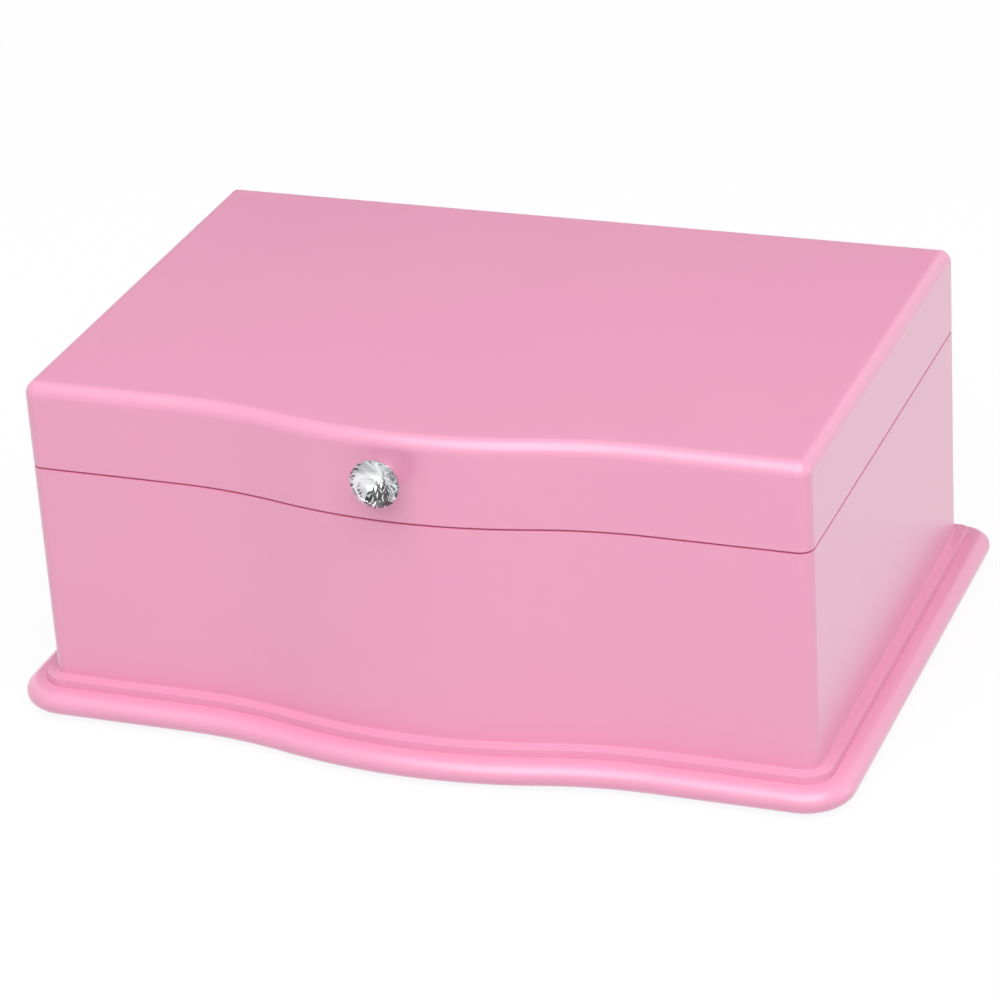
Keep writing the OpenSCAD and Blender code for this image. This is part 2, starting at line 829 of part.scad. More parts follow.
// a tube of the given radius along a list of points
function tube_points(path, r, n) = [
  for (i = [0 : len(path) - 1])
    let (p = path[max(i - 1, 0)], q = path[min(i + 1, len(path) - 1)], t = (q - p) / norm(q - p),
         s = cross(t, [0, 0, 1]), u = s / norm(s), v = cross(u, t))
      each [for (k = [0 : n - 1]) path[i] + r * (u * cos(360 * k / n) + v * sin(360 * k / n))]
];

module tube(path, r, n = 8) {
  m = len(path);
  sides = [
    for (j = [0 : m - 2], i = [0 : n - 1])
      let (k = (i + 1) % n, a = j * n + i, b = j * n + k, c = (j + 1) * n + k, d = (j + 1) * n + i)
        each [[a, c, d], [a, b, c]]
  ];
  polyhedron(tube_points(path, r, n),
    concat([[for (i = [n - 1 : -1 : 0]) i]], sides, [[for (i = [0 : n - 1]) (m - 1) * n + i]]));
}

module dancer_spring() {
  steps = 14 * coil_turns;
  path = [for (i = [0 : steps]) let (a = 360 * coil_turns * i / steps)
    [coil_r * cos(a), coil_r * sin(a), z_coil + coil_h * i / steps]];
  color("gainsboro") at_axis() tube(path, wire_r);
}

// ---- dancer ----

z_dancer = z_coil + coil_h + wire_r;
limb_fn = 12;

// a limb tapering from radius ra at a to rb at b
module limb(a, ra, b, rb) {
  hull() {
    translate(a) sphere(r = ra, $fn = limb_fn);
    translate(b) sphere(r = rb, $fn = limb_fn);
  }
}

module dancer() {
  color(skin) at_axis() translate([0, 0, z_dancer]) {
    cylinder(r = 3.4, h = 0.8);
    // standing leg, on the tip of its shoe
    limb([0.3, 0, 0.9], 0.5, [0.3, -0.3, 4], 0.85);
    limb([0.3, -0.3, 4], 0.85, [0.5, 0.3, 8], 1.35);
    limb([0.5, 0.3, 8], 1.35, [0.6, 0, 12], 1.15);
    limb([0.6, 0, 12], 1.15, [1, 0, 20], 1.9);
    // raised leg, its toe drawn up to the other knee
    limb([-1.2, 0, 20], 1.9, [-6.8, -3.2, 17.2], 1.15);
    limb([-6.8, -3.2, 17.2], 1.15, [-3.2, -1.9, 13.6], 1.1);
    limb([-3.2, -1.9, 13.6], 0.8, [-0.6, -1.2, 11.2], 0.5);
    // hips, waist, bodice and shoulders
    limb([-0.9, 0, 20.6], 2, [0.9, 0, 20.6], 2);
    limb([0, 0, 21.4], 2.5, [0, 0, 25.2], 1.75);
    hull() {
      translate([0, 0, 25.2]) sphere(r = 1.75, $fn = limb_fn);
      translate([-1.5, -0.3, 29]) sphere(r = 1.55, $fn = limb_fn);
      translate([1.5, -0.3, 29]) sphere(r = 1.55, $fn = limb_fn);
      translate([0, 0, 31]) sphere(r = 1, $fn = limb_fn);
    }
    limb([-2.5, 0, 30.9], 0.8, [2.5, 0, 30.9], 0.8);
    limb([0, 0, 30.9], 0.85, [0, -0.1, 34], 0.75);
    // head, and hair drawn back into a bun
    hull() {
      translate([0, -0.1, 36.9]) sphere(r = 2.05, $fn = 20);
      translate([0, -0.7, 35.1]) sphere(r = 1.05, $fn = 16);
    }
    translate([0, 1.9, 38.1]) sphere(r = 1.25, $fn = 16);
    // arms raised in a ring above the head
    for (side = [-1, 1]) {
      limb([side * 3, 0, 31], 0.8, [side * 5.6, -0.8, 35.6], 0.65);
      limb([side * 5.6, -0.8, 35.6], 0.65, [side * 4.3, -1.4, 40.6], 0.5);
      limb([side * 4.3, -1.4, 40.6], 0.5, [side * 1.3, -1.6, 43.4], 0.4);
    }
  }
}

tutu_folds = 14;
tutu_wave = 0.7;
tutu_section = [
  [2.2, 22.4], [4, 22], [8, 21], [13, 19.2], [13.2, 19.6], [8.4, 22], [4, 23.6], [2.2, 24.2]
];

// a stiff round skirt, its rim thrown into folds
module tutu() {
  steps = 6 * tutu_folds;
  m = len(tutu_section);
  reach = tutu_section[4][0];
  points = [
    for (i = [0 : steps - 1], p = tutu_section)
      let (a = 360 * i / steps, wave = tutu_wave * pow(p[0] / reach, 2) * sin(tutu_folds * a))
        [p[0] * cos(a), p[0] * sin(a), p[1] + wave]
  ];
  faces = [
    for (i = [0 : steps - 1], j = [0 : m - 1])
      let (k = (i + 1) % steps, l = (j + 1) % m, a = i * m + j, b = k * m + j, c = k * m + l, d = i * m + l)
        each [[a, c, b], [a, d, c]]
  ];
  color(lining_pink) at_axis() translate([0, 0, z_dancer]) polyhedron(points, faces);
}

// ---- pinned cylinder ----

module cylinder_drum() {
  color(brass) at_axis() across_x(drum_x, drum_len) difference() {
    translate([-z_cyl, 0]) circle(r = drum_r);
    translate([-z_cyl, 0]) circle(r = cyl_arbor_r);
  }
}

pins_a_note = 7;

// each note's pins stand in their own ring, spaced by a simple rule
module cylinder_pins() {
  color(steel) at_axis()
    for (t = [0 : notes - 1], k = [0 : pins_a_note - 1])
      translate([drum_x + (t + 0.5) * comb_pitch, 0, z_cyl])
        rotate([360 / pins_a_note * k + 41 * t + 13 * sin(80 * t * k + 25 * t), 0, 0])
          translate([0, 0, drum_r - 0.6]) cylinder(r = 0.25, h = pin_out + 0.6, $fn = 4);
}

// the cylinder's steel arbor, with the pinion at one end and the great wheel at the other
module cylinder_arbor() {
  color(steel) at_axis() {
    translate([mesh_r - 0.9, 0, z_cyl]) rotate([0, 90, 0])
      cylinder(r = cyl_arbor_r, h = arbor_x1 - mesh_r + 0.9);
    translate([0, 0, z_cyl]) across_x(mesh_r - 0.8, 1.6)
      polygon(gear_points(pinion_teeth, pinion_tip, pinion_r - 0.8, 0.24, 0.5));
    translate([0, 0, z_cyl]) across_x(great_x, great_t) rotate(90 - second_dir)
      polygon(gear_points(great_teeth, great_r + 0.36, great_r - 0.45, 0.2, 0.5));
  }
}

// the second arbor: its pinion meets the great wheel, and its wheel drives the worm
module second_wheel() {
  color(brass) at_axis() translate([0, second_y, z_second]) {
    translate([middle_bearing_x - 0.6, 0, 0]) rotate([0, 90, 0])
      cylinder(r = second_arbor_r, h = arbor_x1 - middle_bearing_x + 0.6);
    across_x(great_x - 0.2, great_t + 0.4) rotate(90 - second_dir + 180 + 180 / second_teeth)
      polygon(gear_points(second_teeth, second_r + 0.36, second_r - 0.45, 0.2, 0.5));
    across_x(wheel_x, wheel_t) rotate(90)
      polygon(gear_points(worm_wheel_teeth, wheel_r + 0.5, wheel_r - 0.7, 0.18, 0.44));
  }
}

// the governor: a two-start worm below and an air brake with two wings above
module governor() {
  twist = -360 * worm_len / worm_lead;
  color(brass) at_axis() translate([worm_x, worm_y, 0]) {
    translate([0, 0, z_plate + 1.5]) cylinder(r = governor_r, h = z_cock + 1.2 - z_plate - 1.5);
    translate([0, 0, z_second]) rotate(twist / 2)
      linear_extrude(worm_len, center = true, twist = twist, slices = 30, $fn = 12) {
        polygon(gear_points(2, worm_r + 0.45, worm_r - 0.7, 0.15, 0.34));
        circle(r = worm_r - 0.65);
      }
    translate([0, 0, z_fly]) cylinder(r = 1.3, h = fly_h);
    box([-fly_r, -0.25, z_fly], [fly_r, 0.25, z_fly + fly_h]);
  }
}

// ---- winding ----

module winding_arbor() {
  color(steel) at_axis() translate([0, 0, 4]) cylinder(r = arbor_r, h = z_crown - 0.3 - 4);
}

ear_x = 8.5;
ear_r = 4.2;
z_ear = 6.4;

// a wing key: a hub on the arbor with two pierced ears
module winding_key() {
  color(brass) at_axis() difference() {
    union() {
      translate([0, 0, z_ear - 3.6]) cylinder(r = 4.4, h = 7.4);
      rotate([90, 0, 0]) linear_extrude(2, center = true) difference() {
        union() {
          for (side = [-1, 1]) translate([side * ear_x, z_ear]) circle(r = ear_r);
          translate([-ear_x, z_ear - 2.6]) square([2 * ear_x, 5.2]);
        }
        for (side = [-1, 1]) translate([side * ear_x, z_ear]) circle(r = 1.8);
      }
    }
    translate([0, 0, 4]) cylinder(r = arbor_r, h = 30);
  }
}

// saw teeth that let the arbor wind one way only
module ratchet_wheel() {
  color(steel) at_axis() slab(z_ratchet, z_ratchet + ratchet_t) difference() {
    polygon([for (i = [0 : ratchet_teeth - 1], k = [[ratchet_r, 0], [ratchet_r - 1, 0.08]])
      let (a = 360 / ratchet_teeth * (i + k[1])) [k[0] * cos(a), k[0] * sin(a)]]);
    circle(r = arbor_r);
  }
}

// ---- start and stop ----

z_arm = z_fly + 2;

// a wire that the lid holds down beside the fly, and that rises as the lid opens
module stop_rod() {
  color(steel) {
    translate([rod_x, rod_y, z_arm]) cylinder(r = rod_r, h = z_lid + 0.3 - z_arm);
    translate([rod_x, rod_y, z_arm]) rotate([90, 0, 0]) cylinder(r = 0.8, h = rod_y - y_axis - worm_y + 2);
    translate([rod_x, rod_y, z_arm]) sphere(r = rod_r);
  }
}

plinth_moulding();
plinth_board();
foot_pads();
underside_felt();
case_front();
case_back();
case_left();
case_right();
case_floor();
long_divider();
stage_walls();
front_dividers();
deck_cleats();
stage_deck();
spindle_bush();
roll_base();
ring_rolls();
floor_pads();
rim_lining();
hinge_case_leaves();
hinge_pins();
hinge_case_screws();
bedplate();
movement_screws();
comb_base();
comb();
comb_screws();
cylinder_bearings();
governor_cock();
click_spring();
lid_top();
lid_front();
lid_back();
lid_left();
lid_right();
lid_lining();
mirror();
lid_bumpers();
stop_block();
hinge_lid_leaves();
hinge_lid_screws();
knob_crystal();
knob_cup();
knob_screw();
spring_barrel();
mainspring();
crown_wheel();
spindle();
dancer_spring();
dancer();
tutu();
cylinder_drum();
cylinder_pins();
cylinder_arbor();
second_wheel();
governor();
winding_arbor();
winding_key();
ratchet_wheel();
stop_rod();
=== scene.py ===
from math import atan, atan2, cos, degrees, hypot, pi, radians, sin, sqrt

import bmesh
import bpy
from mathutils import Matrix, Vector


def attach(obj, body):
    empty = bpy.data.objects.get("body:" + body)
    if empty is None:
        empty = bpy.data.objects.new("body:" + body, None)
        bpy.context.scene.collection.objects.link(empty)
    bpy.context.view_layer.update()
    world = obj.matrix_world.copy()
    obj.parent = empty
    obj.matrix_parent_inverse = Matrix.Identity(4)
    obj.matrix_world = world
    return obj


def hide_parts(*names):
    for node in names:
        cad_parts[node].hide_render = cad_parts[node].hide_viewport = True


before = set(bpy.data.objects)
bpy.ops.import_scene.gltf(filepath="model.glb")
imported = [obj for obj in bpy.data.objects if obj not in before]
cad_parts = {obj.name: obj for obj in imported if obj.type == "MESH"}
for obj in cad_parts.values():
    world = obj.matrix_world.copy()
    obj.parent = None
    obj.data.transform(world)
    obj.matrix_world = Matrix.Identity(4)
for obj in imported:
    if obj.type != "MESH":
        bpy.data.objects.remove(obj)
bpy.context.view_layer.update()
MM = 0.001


# ---- Camera ----
# A long lens looks down on the front left corner, with the box a little turned in its frame.

view_turn = radians(21.82)
view_tilt = radians(26.39)
view_roll = radians(-3.754)
view_reach = 1310.0 * MM
view_target = Vector((-2.6, 5.0, 46.4)) * MM

back = Vector((sin(view_turn) * cos(view_tilt), -cos(view_turn) * cos(view_tilt), sin(view_tilt)))
level = Vector((cos(view_turn), sin(view_turn), 0))
upward = back.cross(level)
right = cos(view_roll) * level + sin(view_roll) * upward
up = cos(view_roll) * upward - sin(view_roll) * level
camera_data = bpy.data.cameras.new("camera")
camera_data.sensor_width = 36
camera_data.lens = 148.15
camera_data.clip_start = 0.05
camera = bpy.data.objects.new("camera", camera_data)
camera.matrix_world = (Matrix.Translation(view_target + back * view_reach)
                       @ Matrix((right, up, back)).transposed().to_4x4())
bpy.context.collection.objects.link(camera)
bpy.context.scene.camera = camera
bpy.context.scene.view_settings.view_transform = "Standard"


# ---- Floor, backdrop and lamps ----
# A white table and sky, with a wide soft lamp above the front and weak ones to the right and behind.
# A grey flag behind the box, seen only in gloss, keeps the white sky from washing out the lid.

def node_material(name, values):
    """A new material with its nodes and links, and the sockets of its shader that differ from plain."""
    material = bpy.data.materials.new(name)
    material.use_nodes = True
    nodes = material.node_tree.nodes
    for socket, value in values.items():
        nodes["Principled BSDF"].inputs[socket].default_value = value
    return material, nodes, material.node_tree.links


def calculated(nodes, links, operation, *values):
    """A sum made of numbers and sockets."""
    node = nodes.new("ShaderNodeMath")
    node.operation = operation
    for socket, value in zip(node.inputs, values):
        if isinstance(value, bpy.types.NodeSocket):
            links.new(value, socket)
        else:
            socket.default_value = value
    return node.outputs[0]


def ranged(nodes, links, value, low, high, start=0.0, end=1.0):
    """Carries a value from the range start to end over to the range low to high."""
    span = nodes.new("ShaderNodeMapRange")
    for socket, number in (("From Min", start), ("From Max", end), ("To Min", low), ("To Max", high)):
        span.inputs[socket].default_value = number
    links.new(value, span.inputs["Value"])
    return span.outputs[0]


def seen_directly(nodes, links):
    """1 for what is seen straight, in gloss or through glass, and 0 for light that falls on things."""
    path = nodes.new("ShaderNodeLightPath")
    seen = calculated(nodes, links, "MAXIMUM", path.outputs["Is Camera Ray"], path.outputs["Is Glossy Ray"])
    return calculated(nodes, links, "MAXIMUM", seen, path.outputs["Is Transmission Ray"])


def paper_white():
    material, nodes, links = node_material("white_table", {
        "Base Color": (0.7, 0.7, 0.7, 1), "Roughness": 0.9, "Specular IOR Level": 0.1})
    glow = nodes.new("ShaderNodeEmission")
    glow.inputs["Strength"].default_value = 1.04
    mix = nodes.new("ShaderNodeMixShader")
    links.new(calculated(nodes, links, "MULTIPLY", seen_directly(nodes, links), 0.86), mix.inputs[0])
    links.new(nodes["Principled BSDF"].outputs[0], mix.inputs[1])
    links.new(glow.outputs[0], mix.inputs[2])
    links.new(mix.outputs[0], nodes["Material Output"].inputs["Surface"])
    return material


def object_from(name, bm):
    """Makes a finished bmesh an object of the scene."""
    mesh = bpy.data.meshes.new(name)
    bm.to_mesh(mesh)
    bm.free()
    obj = bpy.data.objects.new(name, mesh)
    bpy.context.collection.objects.link(obj)
    return obj


def plane(name, half_width, place, material):
    """A square of the set round the box."""
    bm = bmesh.new()
    bmesh.ops.create_grid(bm, x_segments=1, y_segments=1, size=half_width, matrix=place)
    obj = object_from(name, bm)
    obj.data.materials.append(material)
    return obj


table = plane("table", 4, Matrix.Identity(4), paper_white())

world = bpy.data.worlds.new("studio")
bpy.context.scene.world = world
world.use_nodes = True
world_nodes, world_links = world.node_tree.nodes, world.node_tree.links
sky_light, sky_seen = 0.38, 1.0
sky = world_nodes["Background"]
sky.inputs["Color"].default_value = (1, 1, 1, 1)
sky_strength = ranged(world_nodes, world_links, seen_directly(world_nodes, world_links), sky_light, sky_seen)
world_links.new(sky_strength, sky.inputs["Strength"])

box_middle = Vector((0, 0, 0.06))


def lamp(name, place, size, power):
    """A rectangular lamp aimed at the box, in metres and watts."""
    data = bpy.data.lights.new(name, "AREA")
    data.shape = "RECTANGLE"
    data.size, data.size_y = size
    data.energy = power
    obj = bpy.data.objects.new(name, data)
    obj.location = place
    aim = box_middle - Vector(place)
    obj.rotation_euler = aim.to_track_quat("-Z", "Y").to_euler()
    bpy.context.collection.objects.link(obj)
    return obj


lamp("front_softbox", (0.3, -0.78, 1.42), (1.8, 1.8), 28.7)
lamp("right_strip", (1.3, 0.5, 0.45), (0.5, 0.9), 1.9)
lamp("back_fill", (-1.1, 1.2, 0.6), (1.0, 1.0), 6).visible_glossy = False

flag_place = Vector((-0.3, 0.75, 0.5))
grey_cloth = node_material("grey_cloth", {"Base Color": (0.3, 0.3, 0.3, 1), "Roughness": 1.0})[0]
facing_box = flag_place.to_track_quat("Z", "Y").to_matrix().to_4x4()
flag = plane("grey_flag", 0.5, Matrix.Translation(flag_place) @ facing_box, grey_cloth)
flag.visible_camera = flag.visible_diffuse = flag.visible_shadow = flag.visible_transmission = False


# ---- Lacquered case ----
# The case is wood with a sprayed pink satin lacquer that hides the joints between its four walls.
# Its front is a serpentine curve: a crest between two hollow flanks.

body_width = 250 * MM
flat_front = -76.5 * MM
back_face = 86.5 * MM
bow = 9 * MM
bow_half = 76 * MM
bow_turn = 2 * atan(bow / bow_half)
arcs_radius = bow_half / sin(bow_turn)
crest_radius = 0.525 * arcs_radius
flank_radius = arcs_radius - crest_radius
front_corner = 4.5 * MM
back_corner = 3.0 * MM
# levels and the wall in millimetres, as the lofted sections have them
case_foot, rim_height, wall = 11, 83, 9
seam_middle = 83.2


def turn(centre, radius, start, end, steps):
    """Points of an arc in plan, with its first one left out."""
    angles = [start + (end - start) * i / steps for i in range(1, steps + 1)]
    return [(centre[0] + radius * cos(a), centre[1] + radius * sin(a)) for a in angles]


def plan_points(outset, back_radius=back_corner):
    """The case's outline in plan, moved outwards, with the same number of points at any outset."""
    flank_y, crest_y = flat_front - flank_radius, flat_front - bow + crest_radius
    points = [(-bow_half, flat_front - outset)]
    points += turn((-bow_half, flank_y), flank_radius - outset, pi / 2, pi / 2 - bow_turn, 9)
    points += turn((0, crest_y), crest_radius + outset, 1.5 * pi - bow_turn, 1.5 * pi + bow_turn, 20)
    points += turn((bow_half, flank_y), flank_radius - outset, pi / 2 + bow_turn, pi / 2, 9)
    corners = ((1, flat_front, 1, front_corner, -0.5), (1, back_face, -1, back_radius, 0),
               (-1, back_face, -1, back_radius, 0.5), (-1, flat_front, 1, front_corner, 1))
    for side, face, into, radius, start in corners:
        r = max(radius + outset, 0.4 * MM)
        centre = (side * (body_width / 2 + outset - r), face + into * (r - outset))
        points += turn(centre, r, (start - 1 / 16) * pi, (start + 0.5) * pi, 9)
    return points


def loft(bm, levels, closed=False, plan=plan_points):
    """Extrudes the outline through each (outset, height) of a section, and gives the end loops.

    The section is in millimetres, and a closed one is joined up into a ring.
    """
    ring = [bm.verts.new((x, y, levels[0][1] * MM)) for x, y in plan(levels[0][0] * MM)]
    edges = [bm.edges.new((v, ring[i - 1])) for i, v in enumerate(ring)]
    first_ring, first_edges = ring, edges
    for outset, height in levels[1:]:
        made = bmesh.ops.extrude_edge_only(bm, edges=edges)["geom"]
        edges = [e for e in made if isinstance(e, bmesh.types.BMEdge)]
        fresh = {v for e in edges for v in e.verts}
        ring = [[e.other_vert(v) for e in v.link_edges if e.other_vert(v) in fresh][0] for v in ring]
        for v, (x, y) in zip(ring, plan(outset * MM)):
            v.co = (x, y, height * MM)
    if closed:
        count = len(ring)
        for i in range(count):
            bm.faces.new((ring[i - 1], ring[i], first_ring[i], first_ring[i - 1]))
    return first_edges, edges


def shade_smooth(mesh, angle=None):
    """Shades a mesh smooth, but for edges sharper than an angle in degrees if one is given."""
    for polygon in mesh.polygons:
        polygon.use_smooth = True
    if angle:
        mesh.set_sharp_from_angle(angle=radians(angle))


def new_piece(name, bm, body, material, replaced=(), angle=35):
    """Makes a finished bmesh a piece that rides on a body and takes a finish."""
    bmesh.ops.recalc_face_normals(bm, faces=bm.faces)
    piece = object_from(name, bm)
    shade_smooth(piece.data, angle)
    piece.data.materials.append(material)
    even_out = piece.modifiers.new("even_shading", "WEIGHTED_NORMAL")
    even_out.keep_sharp = True
    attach(piece, body)
    if replaced:
        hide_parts(*replaced)
    return piece


def apply_modifiers(piece):
    """Turns the piece's shape as its modifiers show it into its own mesh."""
    shown = piece.evaluated_get(bpy.context.evaluated_depsgraph_get())
    mesh = bpy.data.meshes.new_from_object(shown)
    old = piece.data
    piece.modifiers.clear()
    piece.data = mesh
    bpy.data.meshes.remove(old)


def cut_mortises(shell, low, high):
    """Lets the two hinges' leaves into a shell, between two heights in millimetres."""
    cutter_bm = bmesh.new()
    leaf_length, leaf_depth = 30.1, 11
    for middle in (-72, 72):
        place = Matrix.Translation(Vector((middle, 84, (low + high) / 2)) * MM)
        box = Matrix.Diagonal((leaf_length, leaf_depth, high - low, 1))
        bmesh.ops.create_cube(cutter_bm, size=MM, matrix=place @ box)
    cutter = object_from("mortises", cutter_bm)
    cut = shell.modifiers.new("mortises", "BOOLEAN")
    cut.operation = "DIFFERENCE"
    cut.solver = "EXACT"
    cut.object = cutter
    shell.modifiers.move(1, 0)
    apply_modifiers(shell)
    cutter_mesh = cutter.data
    bpy.data.objects.remove(cutter)
    bpy.data.meshes.remove(cutter_mesh)


def own_place(nodes):
    """The part's own coordinates, which ride with it."""
    return nodes.new("ShaderNodeTexCoord").outputs["Object"]


def noise(nodes, links, place, scale, detail=2):
    """Clouds of grey, the finer the larger the scale."""
    cloud = nodes.new("ShaderNodeTexNoise")
    cloud.inputs["Scale"].default_value = scale
    cloud.inputs["Detail"].default_value = detail
    links.new(place, cloud.inputs["Vector"])
    return cloud.outputs["Fac"]


def stretched(nodes, links, place, scale):
    """Coordinates scaled along each axis, for grain and scratches."""
    grain = nodes.new("ShaderNodeMapping")
    grain.inputs["Scale"].default_value = scale
    links.new(place, grain.inputs["Vector"])
    return grain.outputs[0]


def blended(nodes, links, factor, first, second):
    """A colour between two by a factor. The first is a colour or a socket."""
    mix = nodes.new("ShaderNodeMix")
    mix.data_type = "RGBA"
    if isinstance(first, bpy.types.NodeSocket):
        links.new(first, mix.inputs["A"])
    else:
        mix.inputs["A"].default_value = (*first, 1)
    mix.inputs["B"].default_value = (*second, 1)
    links.new(factor, mix.inputs["Factor"])
    return mix.outputs["Result"]


def shades(colour, share):
    """A colour made darker or lighter, up to full."""
    return [min(1, c * share) for c in colour]


def connect(nodes, links, socket, value):
    """Leads a value to a socket of the material's shader."""
    links.new(value, nodes["Principled BSDF"].inputs[socket])


def raised(nodes, links, height, strength, distance):
    """Raises the surface a little where the height is large, over a distance in metres."""
    bump = nodes.new("ShaderNodeBump")
    bump.inputs["Strength"].default_value = strength
    bump.inputs["Distance"].default_value = distance
    links.new(height, bump.inputs["Height"])
    connect(nodes, links, "Normal", bump.outputs["Normal"])


def pink_lacquer():
    """Satin lacquer with a soft orange peel, painted a deeper, darker pink close to the lid's seam as painted
    shade in the gap.
    """
    material, nodes, links = node_material("pink_lacquer", {
        "Roughness": 0.36, "Coat Weight": 0.9, "Coat Roughness": 0.28})
    place = own_place(nodes)
    pink = blended(nodes, links, noise(nodes, links, place, 9), (0.80, 0.315, 0.485), (0.84, 0.345, 0.515))
    height = nodes.new("ShaderNodeSeparateXYZ")
    links.new(place, height.inputs["Vector"])
    # painted shade: within 0.65 mm of the seam's middle height the pink turns deep raspberry, standing in for
    # the shade in the gap between lid and case
    from_seam = calculated(nodes, links, "SUBTRACT", height.outputs["Z"], seam_middle * MM)
    gap = calculated(nodes, links, "ABSOLUTE", from_seam)
    painted_seam_shade = ranged(nodes, links, gap, 0.45, 0.0, 0.2 * MM, 0.65 * MM)
    connect(nodes, links, "Base Color", blended(nodes, links, painted_seam_shade, pink, (0.74, 0.10, 0.24)))
    raised(nodes, links, noise(nodes, links, place, 420, 1), 0.05, 0.0004)
    return material


lacquer = pink_lacquer()
case_bm = bmesh.new()
case_levels = [(0, case_foot), (0, rim_height - 0.5), (-0.12, rim_height - 0.16), (-0.4, rim_height),
               (0.5 - wall, rim_height), (-wall, rim_height - 0.4), (-wall, case_foot)]
loft(case_bm, case_levels, True)
case_shell = new_piece("case_shell", case_bm, "case", lacquer,
                       ("case_front", "case_back", "case_left", "case_right"))
cut_mortises(case_shell, rim_height - 0.6, rim_height + 1)


# ---- Plinth moulding ----
# A lacquered wooden moulding with a round nose, a riser and a flat ledge, mitred round the case.

nose_reach = 10.8
nose_wide = 4.6
nose_tall = 3.83
nose_middle = 4.57
ledge = 3.6
plinth_levels = [(nose_reach - nose_wide * (1 - cos(radians(a))), nose_middle + nose_tall * sin(radians(a)))
                 for a in range(-60, 91, 10)]
plinth_levels += [(4.3, 8.4), (3.75, 8.15), (ledge, 8.4), (ledge, 10.6), (3.5, 10.9), (3.2, 11), (0.5, 11),
                  (0.12, 11.12), (0, 11.5), (-wall, 11.4), (-wall, 1)]
plinth_back_corner = -1.1 * MM
plinth_bm = bmesh.new()
loft(plinth_bm, plinth_levels, True, lambda outset: plan_points(outset, plinth_back_corner))
new_piece("plinth_shell", plinth_bm, "case", lacquer, ("plinth_moulding",))


# ---- Lid ----
# The lid is built as the case is, with a top board whose upper edge is rounded over.

lid_foot = 83.3
lid_top = 111.5
lid_round = 4.5
board_under = 105.5
lid_bm = bmesh.new()
lid_levels = [(0, lid_foot + 0.5), (0, lid_top - lid_round)]
lid_levels += [(-lid_round * (1 - cos(radians(a))), lid_top - lid_round * (1 - sin(radians(a))))
               for a in range(9, 91, 9)]
lid_levels = [(-wall, board_under), (-wall, lid_foot + 0.4), (0.5 - wall, lid_foot), (-0.4, lid_foot),
              (-0.12, lid_foot + 0.16)] + lid_levels
for ends in loft(lid_bm, lid_levels):
    bmesh.ops.contextual_create(lid_bm, geom=ends)
lid_shell = new_piece("lid_shell", lid_bm, "lid", lacquer,
                      ("lid_top", "lid_front", "lid_back", "lid_left", "lid_right"))
cut_mortises(lid_shell, rim_height, rim_height + 1.4)


# ---- Crystal knob ----
# A cut glass crystal, foiled behind, is glued into a turned and chromed cup on a neck.
# A screw through the lid's front holds it from inside.

knob_centre = Vector((-2.4, -85.5 - 8.0, 99.6)) * MM
crystal_radius = 7.75
girdle_half = 0.4
table_share = 0.53
facing_out = Matrix.Translation(knob_centre) @ Matrix.Rotation(pi / 2, 4, "X")


def facet_ring(bm, count, radius, height, half_step=False):
    """A ring of corners round the knob's axis, at a height in millimetres towards its front."""
    step = Matrix.Rotation(pi / count if half_step else 0, 4, "Z")
    place = facing_out @ Matrix.Translation((0, 0, height * MM)) @ step
    bmesh.ops.create_circle(bm, cap_ends=False, segments=count, radius=radius * MM, matrix=place)


def cut_stone(bm, radius, crown=True, shrink=0.0):
    """Corners of a brilliant: table, stars and kites, girdle, then kites down to a small flat."""
    if crown:
        facet_ring(bm, 8, table_share * radius, 3.8)
        facet_ring(bm, 8, 0.8 * radius, 2.29, True)
    facet_ring(bm, 16, radius, girdle_half - shrink)
    facet_ring(bm, 16, radius, -girdle_half)
    facet_ring(bm, 8, 0.45 * radius, -3.31 + shrink, True)
    facet_ring(bm, 8, 0.6, -5.0 + shrink)
    bmesh.ops.convex_hull(bm, input=bm.verts)


def crystal_glass():
    material, nodes, links = node_material("crystal_glass", {
        "Transmission Weight": 1, "IOR": 1.55, "Base Color": (0.98, 0.99, 1, 1)})
    wear = ranged(nodes, links, noise(nodes, links, own_place(nodes), 900), 0.0, 0.02)
    connect(nodes, links, "Roughness", wear)
    return material


def foil():
    """Silver foil whose facets each carry a grey of painted reflection, bright or dark, standing in for the
    crystal's glints and dark reflections.
    """
    material, nodes, links = node_material("foil_painted_reflections", {"Metallic": 0.35, "Roughness": 0.12})
    tone = nodes.new("ShaderNodeVertexColor")
    tone.layer_name = "painted_reflection_tone"
    connect(nodes, links, "Base Color", tone.outputs["Color"])
    return material


crystal_bm = bmesh.new()
cut_stone(crystal_bm, crystal_radius)
new_piece("crystal", crystal_bm, "lid", crystal_glass(), ("knob_crystal",), angle=3)

foil_bm = bmesh.new()
cut_stone(foil_bm, crystal_radius - 0.25, crown=False, shrink=0.2)
open_front = knob_centre.y + 0.3 * MM
in_front = [f for f in foil_bm.faces if f.calc_center_median().y < open_front]
bmesh.ops.delete(foil_bm, geom=in_front, context="FACES")
bmesh.ops.subdivide_edges(foil_bm, edges=foil_bm.edges, cuts=2, use_grid_fill=True)
bmesh.ops.triangulate(foil_bm, faces=foil_bm.faces)
reflection_tone_layer = foil_bm.loops.layers.float_color.new("painted_reflection_tone")
